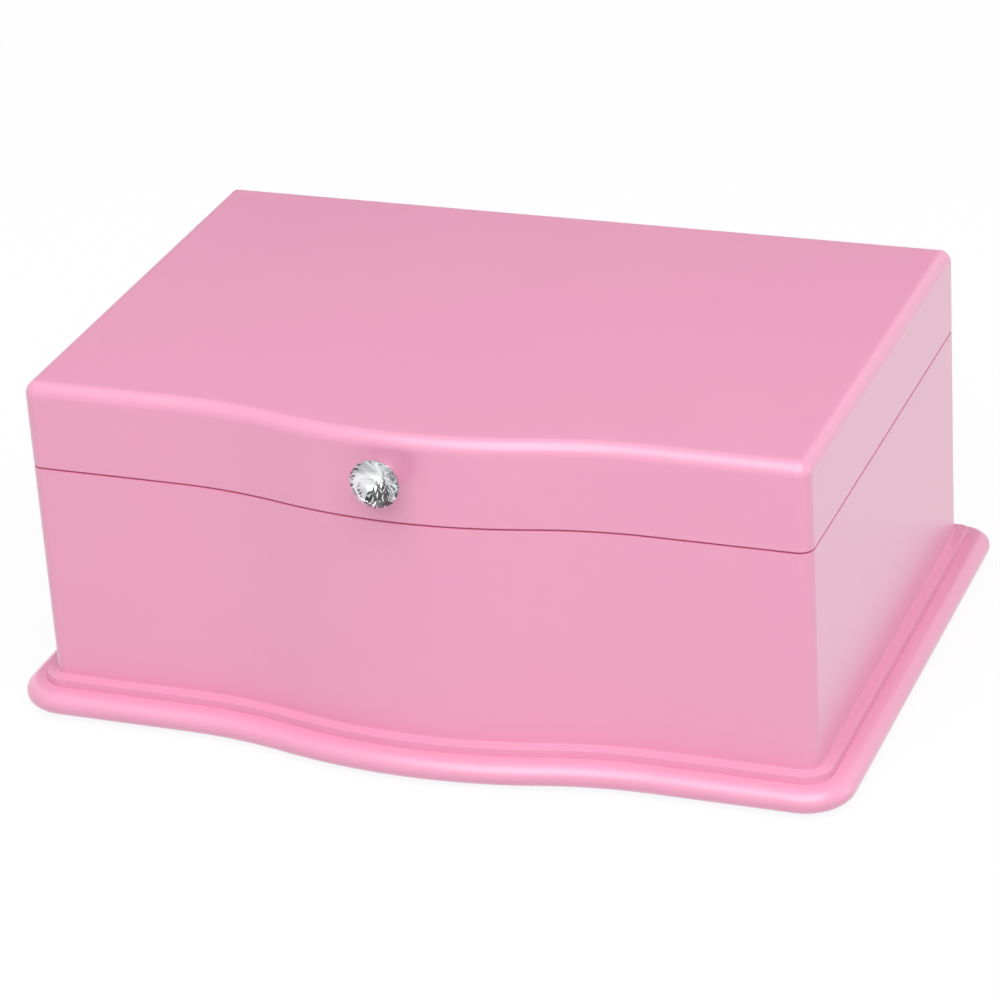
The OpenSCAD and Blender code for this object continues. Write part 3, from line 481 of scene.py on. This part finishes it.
# painted reflection: the sectors, in degrees, start at the right and go round anticlockwise, each with its
# facets' greys, light ones as painted glints and dark ones as painted dark reflections
painted_dark_sector = (235, 315)
painted_reflection_greys = {(0, 80): (0.45, 0.95, 0.05, 0.7, 0.2), (80, 235): (0.97, 0.95, 0.98, 0.92, 0.97),
              painted_dark_sector: (0.02, 0.05, 0.03, 0.85, 0.02), (315, 360): (0.95, 0.25, 0.97, 0.9, 0.04)}
rim_width = 5.5 * MM
for number, facet in enumerate(foil_bm.faces):
    centre = facet.calc_center_median() - knob_centre
    bearing = degrees(atan2(centre.z, centre.x)) % 360
    greys = next(tones for (start, end), tones in painted_reflection_greys.items() if start <= bearing < end)
    # past the rim width every other facet takes the painted dark greys
    if hypot(centre.x, centre.z) > rim_width and number % 2 == 0:
        grey = painted_reflection_greys[painted_dark_sector][number % 5]
    else:
        grey = greys[number * 7 % 5]
    for loop in facet.loops:
        loop[reflection_tone_layer] = (grey, grey * 1.01, grey * 1.02, 1)
new_piece("crystal_foil", foil_bm, "lid", foil(), angle=3)



# ---- Knob cup, screws and hinges ----
# Two brass butt hinges are let into the back edges and held by slotted countersunk screws.
# The knob's chromed cup and its screw are turned; all of these keep their drawn shapes.

def dress_node(node, material, bevel=0.0):
    """Gives a drawn part its finish and softens its edges by a bevel in millimetres."""
    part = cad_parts[node]
    part.data.materials.clear()
    part.data.materials.append(material)
    weld = part.modifiers.new("weld", "WELD")
    weld.merge_threshold = 0.001 * MM
    if bevel:
        edge = part.modifiers.new("edges", "BEVEL")
        edge.width = bevel * MM
        edge.segments = 2
        edge.limit_method = "ANGLE"
        edge.angle_limit = radians(32)
    smooth = part.modifiers.new("even_shading", "WEIGHTED_NORMAL")
    smooth.keep_sharp = True


def turned_metal(name, colour, roughness, grain=60.0, scratch=0.12):
    """Metal with soft patches of polish and fine scratches along the part."""
    material, nodes, links = node_material(name, {"Metallic": 1})
    place = own_place(nodes)
    patches = noise(nodes, links, place, grain, 4)
    connect(nodes, links, "Base Color", blended(nodes, links, patches, shades(colour, 0.88), colour))
    connect(nodes, links, "Roughness", ranged(nodes, links, patches, roughness * 0.7, roughness * 1.4))
    scratches = noise(nodes, links, stretched(nodes, links, place, (300, 9000, 9000)), 1)
    raised(nodes, links, scratches, scratch, 0.00005)
    return material


brass = turned_metal("lacquered_brass", (0.83, 0.60, 0.26), 0.22)
steel = turned_metal("bright_steel", (0.62, 0.62, 0.63), 0.26)
chrome = turned_metal("chromed_brass", (0.86, 0.87, 0.88), 0.07, scratch=0.03)
dress_node("knob_cup", chrome, 0.1)
dress_node("knob_screw", steel, 0.15)
for leaves in ("hinge_case_leaves", "hinge_lid_leaves"):
    dress_node(leaves, brass, 0.12)
dress_node("hinge_pins", steel, 0.15)
for screws in ("hinge_case_screws", "hinge_lid_screws"):
    dress_node(screws, brass, 0.06)


# ---- Tray and stage ----
# The floor, partitions, stage and ring stand are thin board, sprayed with glue and flocked
# in dusty pink. The cleats and the stop block stay bare wood.

def flocking(name, colour, pile=2600.0, depth=0.00025):
    """Short cut fibres on glue: a dense soft speckle with a pale sheen."""
    material, nodes, links = node_material(name, {
        "Roughness": 0.95, "Specular IOR Level": 0.15, "Sheen Weight": 0.5, "Sheen Roughness": 0.45,
        "Sheen Tint": (1.0, 0.85, 0.9, 1)})
    place = own_place(nodes)
    fibres = noise(nodes, links, place, pile, 3)
    nap = calculated(nodes, links, "MULTIPLY", noise(nodes, links, place, 45, 3), 0.5)
    speckle = calculated(nodes, links, "MULTIPLY_ADD", fibres, 0.5, nap)
    mottled = blended(nodes, links, speckle, shades(colour, 0.72), shades(colour, 1.18))
    connect(nodes, links, "Base Color", mottled)
    raised(nodes, links, fibres, 0.6, depth)
    return material


def bare_wood():
    """Plain pale wood with long grain along X."""
    material, nodes, links = node_material("bare_wood", {"Roughness": 0.7})
    grain = noise(nodes, links, stretched(nodes, links, own_place(nodes), (12, 260, 260)), 1, 6)
    connect(nodes, links, "Base Color", blended(nodes, links, grain, (0.42, 0.27, 0.15), (0.68, 0.50, 0.32)))
    raised(nodes, links, grain, 0.3, 0.0001)
    return material


flocked_pink = flocking("flocked_pink", (0.78, 0.36, 0.50))
bare = bare_wood()
for board in ("case_floor", "long_divider", "stage_walls", "front_dividers", "stage_deck", "roll_base"):
    dress_node(board, flocked_pink, 0.5)
for block in ("deck_cleats", "stop_block"):
    dress_node(block, bare, 0.3)


# ---- Bumpers and bush ----
# Clear soft bumpers stop the lid from knocking, and four clear pads keep the box from sliding.
# The dancer's spindle turns in a moulded white bush.

def moulded(name, colour, roughness, clear=0.0):
    """Moulded plastic or rubber with a faint orange-peel skin."""
    material, nodes, links = node_material(name, {
        "Roughness": roughness, "Transmission Weight": clear, "IOR": 1.46})
    skin = noise(nodes, links, own_place(nodes), 700)
    connect(nodes, links, "Base Color", blended(nodes, links, skin, shades(colour, 0.94), colour))
    raised(nodes, links, skin, 0.08, 0.0001)
    return material


clear_rubber = moulded("clear_rubber", (0.93, 0.93, 0.92), 0.25, 0.85)
white_moulding = moulded("white_moulding", (0.86, 0.86, 0.84), 0.4)
for pads in ("lid_bumpers", "foot_pads"):
    dress_node(pads, clear_rubber, 0.2)
dress_node("spindle_bush", white_moulding, 0.2)


# ---- Underside ----
# The plinth is closed by a board, lacquered at its rim and covered with dark felt.
# The winding key stands in a round recess.

felt_dark = flocking("dark_felt", (0.10, 0.09, 0.10), 1500.0, 0.0004)
dress_node("plinth_board", lacquer, 0.3)
dress_node("underside_felt", felt_dark, 0.15)
dress_node("winding_key", brass, 0.25)
dress_node("winding_arbor", steel, 0.2)


# ---- Musical movement ----
# A wound spring in a brass barrel turns the dancer, and the cylinder through a crown wheel.
# The cylinder's pins lift the steel teeth of a comb, and a worm-driven fly keeps the pace.

zinc = turned_metal("cast_zinc", (0.55, 0.55, 0.56), 0.5, 400.0, 0.3)
blued = turned_metal("blued_spring", (0.10, 0.12, 0.19), 0.3)
for part in ("cylinder_bearings", "governor_cock", "crown_wheel", "spring_barrel", "cylinder_drum",
             "second_wheel", "governor", "comb_screws"):
    dress_node(part, brass, 0.06)
for part in ("bedplate", "movement_screws", "comb", "click_spring", "cylinder_arbor", "ratchet_wheel",
             "stop_rod", "spindle"):
    dress_node(part, steel, 0.05)
dress_node("cylinder_pins", steel)
dress_node("comb_base", zinc, 0.2)
dress_node("mainspring", blued)


# ---- Cushions ----
# Loose floor cushions and the six ring rolls are foam under velvet.
# Each is pumped up a little from its plain shape, then its cover is smoothed.

def velvet(name, colour):
    """Woven pile: fine tufts under soft pressed patches, with a strong pale sheen."""
    material, nodes, links = node_material(name, {
        "Roughness": 0.85, "Specular IOR Level": 0.2, "Sheen Weight": 0.9, "Sheen Roughness": 0.3,
        "Sheen Tint": (1.0, 0.82, 0.9, 1)})
    place = own_place(nodes)
    pressed = noise(nodes, links, place, 70, 4)
    patchy = blended(nodes, links, pressed, shades(colour, 0.8), shades(colour, 1.12))
    connect(nodes, links, "Base Color", patchy)
    raised(nodes, links, noise(nodes, links, place, 3200), 0.5, 0.0002)
    return material


def one_skin(piece, voxel):
    """Rebuilds a piece as one even skin, by a voxel size in millimetres."""
    skin = piece.modifiers.new("one_skin", "REMESH")
    skin.mode = "VOXEL"
    skin.voxel_size = voxel * MM
    apply_modifiers(piece)


def finish_skin(piece, rounds, material, body):
    """Smooths a skin's shape in rounds, then makes it a piece on a body with a finish."""
    settle = bmesh.new()
    settle.from_mesh(piece.data)
    for _ in range(rounds):
        bmesh.ops.smooth_vert(settle, verts=settle.verts, factor=0.5,
                              use_axis_x=True, use_axis_y=True, use_axis_z=True)
    settle.to_mesh(piece.data)
    settle.free()
    piece.data.materials.clear()
    piece.data.materials.append(material)
    shade_smooth(piece.data)
    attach(piece, body)


def pump_up(piece, swell):
    """Fills a closed cover with air by a short cloth simulation, within a swell in millimetres."""
    start = [v.co.copy() for v in piece.data.vertices]
    cloth = piece.modifiers.new("filling", "CLOTH")
    cloth.settings.use_pressure = True
    cloth.settings.uniform_pressure_force = 4
    cloth.settings.effector_weights.gravity = 0
    cloth.settings.tension_stiffness = 25
    last_step = 20
    for step in range(1, last_step + 1):
        bpy.context.scene.frame_set(step)
    apply_modifiers(piece)
    bpy.context.scene.frame_set(1)
    for vertex, before in zip(piece.data.vertices, start):
        moved = vertex.co - before
        if moved.length > swell * MM:
            vertex.co = before + moved.normalized() * swell * MM


def cushion(name, node, voxel, swell, material):
    """A drawn soft part as a filled cover of velvet."""
    copy = bmesh.new()
    copy.from_mesh(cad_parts[node].data)
    bmesh.ops.remove_doubles(copy, verts=copy.verts, dist=0.001 * MM)
    piece = object_from(name, copy)
    one_skin(piece, voxel)
    pump_up(piece, swell)
    finish_skin(piece, 3, material, "case")
    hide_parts(node)


pink_velvet = velvet("pink_velvet", (0.80, 0.42, 0.55))
cushion("floor_cushions", "floor_pads", 1.5, 0.6, pink_velvet)
cushion("ring_cushion_rolls", "ring_rolls", 1.3, 0.5, pink_velvet)


# ---- Satin linings and mirror ----
# Pale pink satin over a thin pad lines the rim of the case, glued in one band.
# The lid's satin is gathered in small pleats round a bevelled mirror.

def woven_satin():
    """Satin: fine threads across the light, soft slubs, a broad bright gloss."""
    material, nodes, links = node_material("pink_satin", {
        "Roughness": 0.38, "Anisotropic": 0.5, "Sheen Weight": 0.3, "Sheen Tint": (1.0, 0.88, 0.93, 1)})
    place = own_place(nodes)
    slub = noise(nodes, links, place, 90, 3)
    connect(nodes, links, "Base Color", blended(nodes, links, slub, (0.86, 0.58, 0.68), (0.92, 0.68, 0.76)))
    threads = nodes.new("ShaderNodeTexWave")
    threads.bands_direction = "DIAGONAL"
    threads.inputs["Scale"].default_value = 900
    threads.inputs["Distortion"].default_value = 1.5
    links.new(place, threads.inputs["Vector"])
    raised(nodes, links, threads.outputs["Fac"], 0.15, 0.0001)
    return material


pink_satin = woven_satin()
band_bm = bmesh.new()
band_section = [(-9, 80.7), (-9.35, 81), (-9.8, 80.8), (-10.05, 80.2), (-10.2, 78), (-10.2, 60), (-10.05, 57),
                (-9.8, 56.4), (-9.35, 56.2), (-9, 56.5)]
loft(band_bm, band_section, True)
# the band stops on both sides of the rod that the lid moves
rod_gap = (45.4 * MM, 51.4 * MM)
back_run = 70 * MM
for gap_x, facing in zip(rod_gap, (-1, 1)):
    near_rod = [f for f in band_bm.faces if f.calc_center_median().y > back_run and abs(f.normal.x) < 0.9]
    bmesh.ops.bisect_plane(band_bm, geom=list({g for f in near_rod for g in (*f.verts, *f.edges, f)}),
                           plane_co=(gap_x, 0, 0), plane_no=(facing, 0, 0))
in_gap = [f for f in band_bm.faces if f.calc_center_median().y > back_run
          and rod_gap[0] < f.calc_center_median().x < rod_gap[1]]
bmesh.ops.delete(band_bm, geom=in_gap, context="FACES")
bmesh.ops.holes_fill(band_bm, edges=[e for e in band_bm.edges if e.is_boundary])
rim_band = new_piece("rim_satin_band", band_bm, "case", pink_satin, ("rim_lining",), angle=60)

lid_panel_bm = bmesh.new()
outline = [Vector(p) for p in plan_points(-9.5 * MM)]
lengths = [(b - a).length for a, b in zip(outline, outline[1:] + outline[:1])]
girth = sum(lengths)
pleats = 150
stations = pleats * 6
pleat_rows = 8
panel_rows = [[] for _ in range(pleat_rows + 1)]
mirror_half = 92 * MM
mirror_front, mirror_back = -48 * MM, 58 * MM
satin_level, board_level = 103.95, 105.45
travelled, side_number = 0.0, 0
for station in range(stations):
    along = girth * station / stations
    while along > travelled + lengths[side_number]:
        travelled += lengths[side_number]
        side_number += 1
    start, end = outline[side_number], outline[(side_number + 1) % len(outline)]
    at_wall = start.lerp(end, (along - travelled) / lengths[side_number])
    at_mirror = Vector((min(max(at_wall.x, -mirror_half), mirror_half),
                        min(max(at_wall.y, mirror_front), mirror_back)))
    waviness = 0.5 + 0.5 * sin(2 * pi * pleats * station / stations + 1.3 * sin(0.061 * station))
    for row in range(pleat_rows + 1):
        share = row / pleat_rows
        x, y = at_mirror.lerp(at_wall, share)
        swell = sin(pi * share) ** 0.7 * (0.7 + 0.8 * waviness)
        panel_rows[row].append(lid_panel_bm.verts.new((x, y, (satin_level - swell) * MM)))
for inner, outer in zip(panel_rows, panel_rows[1:]):
    for i in range(stations):
        lid_panel_bm.faces.new((inner[i - 1], inner[i], outer[i], outer[i - 1]))
behind = [lid_panel_bm.verts.new((v.co.x, v.co.y, board_level * MM)) for v in panel_rows[-1]]
for i in range(stations):
    lid_panel_bm.faces.new((panel_rows[-1][i - 1], panel_rows[-1][i], behind[i], behind[i - 1]))
lid_panel_bm.faces.new(behind)
bmesh.ops.remove_doubles(lid_panel_bm, verts=lid_panel_bm.verts, dist=0.002 * MM)
bmesh.ops.holes_fill(lid_panel_bm, edges=[e for e in lid_panel_bm.edges if e.is_boundary])
lid_panel = new_piece("lid_satin_panel", lid_panel_bm, "lid", pink_satin, ("lid_lining",), angle=60)

silvered, silvered_nodes, silvered_links = node_material("silvered_glass", {
    "Metallic": 1.0, "Base Color": (0.88, 0.92, 0.91, 1)})
haze = noise(silvered_nodes, silvered_links, own_place(silvered_nodes), 25)
connect(silvered_nodes, silvered_links, "Roughness", ranged(silvered_nodes, silvered_links, haze, 0.0, 0.03))
dress_node("mirror", silvered)


# ---- Dancer ----
# The dancer is a small moulded figure on one toe, painted, with a raised knee and arms in a ring.
# It stands on a disc on a coil spring, and the spindle below turns it.

dancer_foot = Vector((0, 41.5, 53.5)) * MM


def on_dancer(x, y, z):
    """A place in millimetres from the middle of the dancer's foot."""
    return dancer_foot + Vector((x, y, z)) * MM


def ball(bm, place, radius, stretch=(1, 1, 1), fine=16):
    """A ball of so many segments, stretched along its axes."""
    shape = Matrix.Translation(on_dancer(*place)) @ Matrix.Diagonal((*stretch, 1))
    bmesh.ops.create_uvsphere(bm, u_segments=fine, v_segments=fine // 2, radius=radius * MM, matrix=shape)


def limb(bm, start, start_radius, end, end_radius):
    """A tapered limb with round ends."""
    a, b = on_dancer(*start), on_dancer(*end)
    along = b - a
    shape = Matrix.Translation((a + b) / 2) @ along.to_track_quat("Z", "Y").to_matrix().to_4x4()
    bmesh.ops.create_cone(bm, cap_ends=True, segments=20, radius1=start_radius * MM, radius2=end_radius * MM,
                          depth=along.length, matrix=shape)
    ball(bm, start, start_radius)
    ball(bm, end, end_radius)


def sculpted(name, bm, voxel, rounds, material):
    """Melts overlapping forms into one skin and smooths it."""
    piece = object_from(name, bm)
    one_skin(piece, voxel)
    finish_skin(piece, rounds, material, "barrel")
    return piece


def painted(name, colour, roughness=0.45, sparkle=0.0):
    """Hand-laid paint, a little uneven, over waxy plastic."""
    material, nodes, links = node_material(name, {
        "Roughness": roughness, "Subsurface Weight": 0.1, "Subsurface Radius": (0.001, 0.0004, 0.0003)})
    cloud = noise(nodes, links, own_place(nodes), 600)
    connect(nodes, links, "Base Color", blended(nodes, links, cloud, shades(colour, 0.9), colour))
    raised(nodes, links, cloud, 0.1 + sparkle, 0.00005)
    return material


skin_paint = painted("skin_paint", (0.86, 0.62, 0.52))
tights_paint = painted("tights_paint", (0.88, 0.66, 0.68))
satin_paint = painted("satin_paint", (0.86, 0.42, 0.58), 0.28, 0.2)
hair_paint = painted("hair_paint", (0.16, 0.08, 0.045), 0.4, 0.4)
eye_paint = painted("eye_paint", (0.05, 0.03, 0.03), 0.2)
lip_paint = painted("lip_paint", (0.66, 0.13, 0.18), 0.3)

figure_bm = bmesh.new()
limb(figure_bm, (-2.3, 0, 30.7), 0.85, (2.3, 0, 30.7), 0.85)
limb(figure_bm, (0, 0, 30.5), 0.95, (0, -0.1, 34), 0.72)
limb(figure_bm, (0, 0, 27.5), 1.9, (0, 0, 30.2), 1.35)
ball(figure_bm, (0, -0.15, 36.75), 2.0, (0.93, 1.02, 1.08), 32)
ball(figure_bm, (0, -0.85, 35.35), 1.15, (0.95, 0.85, 0.9), 24)
ball(figure_bm, (0, -2.15, 36.25), 0.24, (0.8, 1, 1.3))
for side in (-1, 1):
    limb(figure_bm, (side * 2.7, 0, 30.9), 0.82, (side * 5.4, -0.7, 35.4), 0.6)
    limb(figure_bm, (side * 5.4, -0.7, 35.4), 0.6, (side * 4.25, -1.3, 40.2), 0.45)
    limb(figure_bm, (side * 4.25, -1.3, 40.2), 0.45, (side * 2.6, -1.5, 42.4), 0.38)
    ball(figure_bm, (side * 2.1, -1.55, 42.75), 0.5, (1.3, 0.6, 0.8))
    limb(figure_bm, (side * 1.8, -1.6, 42.9), 0.3, (side * 0.9, -1.6, 43.4), 0.2)
figure = sculpted("dancer_figure", figure_bm, 0.2, 3, skin_paint)
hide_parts("dancer")

legs_bm = bmesh.new()
limb(legs_bm, (0.3, 0, 1.1), 0.5, (0.3, -0.3, 3.8), 0.75)
limb(legs_bm, (0.3, -0.3, 3.8), 0.75, (0.45, 0.35, 8), 1.25)
limb(legs_bm, (0.45, 0.35, 8), 1.25, (0.6, 0, 11.6), 0.98)
limb(legs_bm, (0.6, -0.05, 12.1), 1.06, (0.85, 0, 16.5), 1.5)
limb(legs_bm, (0.85, 0, 16.5), 1.5, (1, 0, 20.4), 1.85)
limb(legs_bm, (-1.2, 0, 20.2), 1.85, (-3.8, -1.5, 18.6), 1.5)
limb(legs_bm, (-3.8, -1.5, 18.6), 1.5, (-6.6, -3.1, 17.2), 1.08)
limb(legs_bm, (-6.6, -3.1, 17.1), 1.02, (-4.6, -2.5, 15.2), 1.12)
limb(legs_bm, (-4.6, -2.5, 15.2), 1.12, (-2.7, -1.8, 13.1), 0.68)
limb(legs_bm, (-0.9, 0, 20.8), 2, (0.9, 0, 20.8), 2)
sculpted("dancer_legs", legs_bm, 0.2, 3, tights_paint)

bodice_bm = bmesh.new()
limb(bodice_bm, (-0.9, 0, 21), 2.1, (0.9, 0, 21), 2.1)
limb(bodice_bm, (0, 0, 21.6), 2.55, (0, 0, 25.2), 1.8)
limb(bodice_bm, (0, 0, 25.2), 1.8, (0, -0.1, 27.8), 2.1)
for side in (-1, 1):
    limb(bodice_bm, (side * 0.4, 0, 25.4), 1.6, (side * 1.25, -0.1, 28.5), 1.7)
    ball(bodice_bm, (side * 1.0, -1.0, 28.7), 1.05)
    limb(bodice_bm, (side * 1.7, -1.1, 29.4), 0.2, (side * 2.3, -0.1, 31.6), 0.18)
    limb(bodice_bm, (side * 2.3, -0.1, 31.6), 0.18, (side * 1.9, 1.2, 29.6), 0.18)
sculpted("dancer_bodice", bodice_bm, 0.18, 2, satin_paint)

shoes_bm = bmesh.new()
limb(shoes_bm, (0.3, 0, 0.95), 0.6, (0.3, -0.15, 2.6), 0.78)
limb(shoes_bm, (0.3, -0.15, 2.6), 0.78, (0.3, -0.3, 3.4), 0.7)
limb(shoes_bm, (-2.9, -1.85, 13.2), 0.82, (-1.6, -1.5, 12.1), 0.72)
limb(shoes_bm, (-1.6, -1.5, 12.1), 0.72, (-0.6, -1.2, 11.3), 0.5)
sculpted("dancer_shoes", shoes_bm, 0.15, 2, satin_paint)

hair_bm = bmesh.new()
ball(hair_bm, (0, 0.25, 37.05), 2.12, (0.97, 1.0, 1.05), 32)
ball(hair_bm, (0, 1.9, 38.1), 1.2, (1, 1, 1), 24)
hair = sculpted("dancer_hair", hair_bm, 0.16, 2, hair_paint)

face_cut = bmesh.new()
face_cut.from_mesh(hair.data)
bmesh.ops.bisect_plane(face_cut, geom=face_cut.verts[:] + face_cut.edges[:] + face_cut.faces[:],
                       plane_co=on_dancer(0, -0.75, 37.6), plane_no=(0, -0.8, -0.6), clear_outer=True)
bmesh.ops.holes_fill(face_cut, edges=[e for e in face_cut.edges if e.is_boundary])
bmesh.ops.recalc_face_normals(face_cut, faces=face_cut.faces)
face_cut.to_mesh(hair.data)
face_cut.free()

ribbon_tilt = Matrix.Translation(on_dancer(0, 1.25, 37.7)) @ Matrix.Rotation(-0.5, 4, "X")
ribbon_bm = bmesh.new()
bmesh.ops.create_uvsphere(ribbon_bm, u_segments=24, v_segments=12, radius=1.1 * MM,
                          matrix=ribbon_tilt @ Matrix.Diagonal((1.15, 0.3, 1.15, 1)))
sculpted("dancer_ribbon", ribbon_bm, 0.12, 1, satin_paint)

eyes_bm = bmesh.new()
for side in (-1, 1):
    ball(eyes_bm, (side * 0.66, -1.93, 36.7), 0.22, (1.2, 0.55, 0.6))
    ball(eyes_bm, (side * 0.7, -1.92, 37.18), 0.2, (1.7, 0.5, 0.28))
new_piece("dancer_eyes", eyes_bm, "barrel", eye_paint)
lips_bm = bmesh.new()
ball(lips_bm, (0, -1.97, 35.55), 0.26, (1.3, 0.5, 0.5))
new_piece("dancer_lips", lips_bm, "barrel", lip_paint)

stand_bm = bmesh.new()
stand_line = [(0, 0), (3.1, 0), (3.4, 0.2), (3.4, 0.6), (3.2, 0.8), (0.9, 0.8), (0.6, 1.0), (0, 1.0)]
stand_verts = [stand_bm.verts.new(on_dancer(x, 0, z)) for x, z in stand_line]
stand_edges = [stand_bm.edges.new(pair) for pair in zip(stand_verts, stand_verts[1:])]
bmesh.ops.spin(stand_bm, geom=stand_verts + stand_edges, cent=dancer_foot, axis=(0, 0, 1), angle=2 * pi,
               steps=64, use_merge=True)
bmesh.ops.remove_doubles(stand_bm, verts=stand_bm.verts, dist=0.002 * MM)
new_piece("dancer_stand", stand_bm, "barrel", white_moulding)


# ---- Tutu ----
# The skirt is three round layers of stiff net, gathered at the waist.
# Their rims are thrown in folds, a different number in each layer.

def net():
    """Stiff nylon net: fine holes that let the layer below show through."""
    material, nodes, links = node_material("white_net", {
        "Base Color": (0.95, 0.84, 0.88, 1), "Roughness": 0.6, "Sheen Weight": 0.4})
    holes = nodes.new("ShaderNodeTexVoronoi")
    holes.feature = "DISTANCE_TO_EDGE"
    holes.inputs["Scale"].default_value = 2400
    links.new(own_place(nodes), holes.inputs["Vector"])
    connect(nodes, links, "Alpha", ranged(nodes, links, holes.outputs["Distance"], 1.0, 0.45, 0.02, 0.2))
    return material


white_net = net()
waist_radius = 2.25
disc_share = 0.78
# for each layer: waist height, rim radius, rim height, number of folds and where they start
net_layers = ((22.3, 12.4, 19.9, 15, 0.0), (22.9, 12.9, 20.9, 14, 0.9), (23.6, 12.2, 22.2, 13, 2.1))
net_layer_pieces = []
net_areas = []
for number, (waist_z, rim_radius, rim_z, folds, shift) in enumerate(net_layers):
    layer = bmesh.new()
    spoke = [layer.verts.new(on_dancer(waist_radius + (rim_radius - waist_radius) * i / 12, 0, 0))
             for i in range(13)]
    spoke_edges = [layer.edges.new(pair) for pair in zip(spoke, spoke[1:])]
    bmesh.ops.spin(layer, geom=spoke + spoke_edges, cent=dancer_foot, axis=(0, 0, 1), angle=2 * pi, steps=168,
                   use_merge=True)
    bmesh.ops.remove_doubles(layer, verts=layer.verts, dist=0.002 * MM)
    for v in layer.verts:
        out = v.co - dancer_foot
        bearing = atan2(out.y, out.x)
        share = max(0, (hypot(out.x, out.y) / MM - waist_radius) / (rim_radius - waist_radius))
        droop = waist_z + (rim_z - waist_z) * share ** 1.6
        ripple = 0.55 * share ** 1.3 * sin(folds * bearing + shift) + 0.16 * share * sin(3 * folds * bearing)
        v.co.z = dancer_foot.z + (droop + ripple) * MM
    net_areas.append(sum(face.calc_area() for face in layer.faces))
    piece = new_piece(f"tutu_layer_{number + 1}", layer, "barrel", white_net, angle=80)
    thickness = piece.modifiers.new("net_thickness", "SOLIDIFY")
    thickness.thickness = 0.08 * MM
    apply_modifiers(piece)
    net_layer_pieces.append(piece)
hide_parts("tutu")
for piece, cut_area in zip(net_layer_pieces, net_areas):
    side = 1.001 * sqrt(cut_area / disc_share)


# ---- Dancer's spring ----
# A coil of bright wire, five turns, seated on the spindle's turntable.
# The disc under the dancer's foot rests on its top.

coil_foot = Vector((0, 41.5, 45.1)) * MM
coil_radius = 2.9 * MM
coil_rise = 8.0 * MM
coil_turns = 5
coil_steps = 40 * coil_turns
coil_bm = bmesh.new()
wire_place = Matrix.Translation(coil_foot + Vector((coil_radius, 0, 0))) @ Matrix.Rotation(pi / 2, 4, "X")
wire_round = bmesh.ops.create_circle(coil_bm, segments=12, radius=0.4 * MM, matrix=wire_place)
coil_rim = list({e for v in wire_round["verts"] for e in v.link_edges})
coil_made = bmesh.ops.spin(coil_bm, geom=wire_round["verts"] + coil_rim, cent=coil_foot, axis=(0, 0, 1),
                           dvec=(0, 0, coil_rise / coil_steps), angle=2 * pi * coil_turns,
                           steps=coil_steps, use_merge=False)
bmesh.ops.contextual_create(coil_bm, geom=coil_rim)
coil_end = [g for g in coil_made["geom_last"] if isinstance(g, bmesh.types.BMEdge)]
bmesh.ops.contextual_create(coil_bm, geom=coil_end)
new_piece("dancer_coil", coil_bm, "barrel", steel, ("dancer_spring",), angle=50)
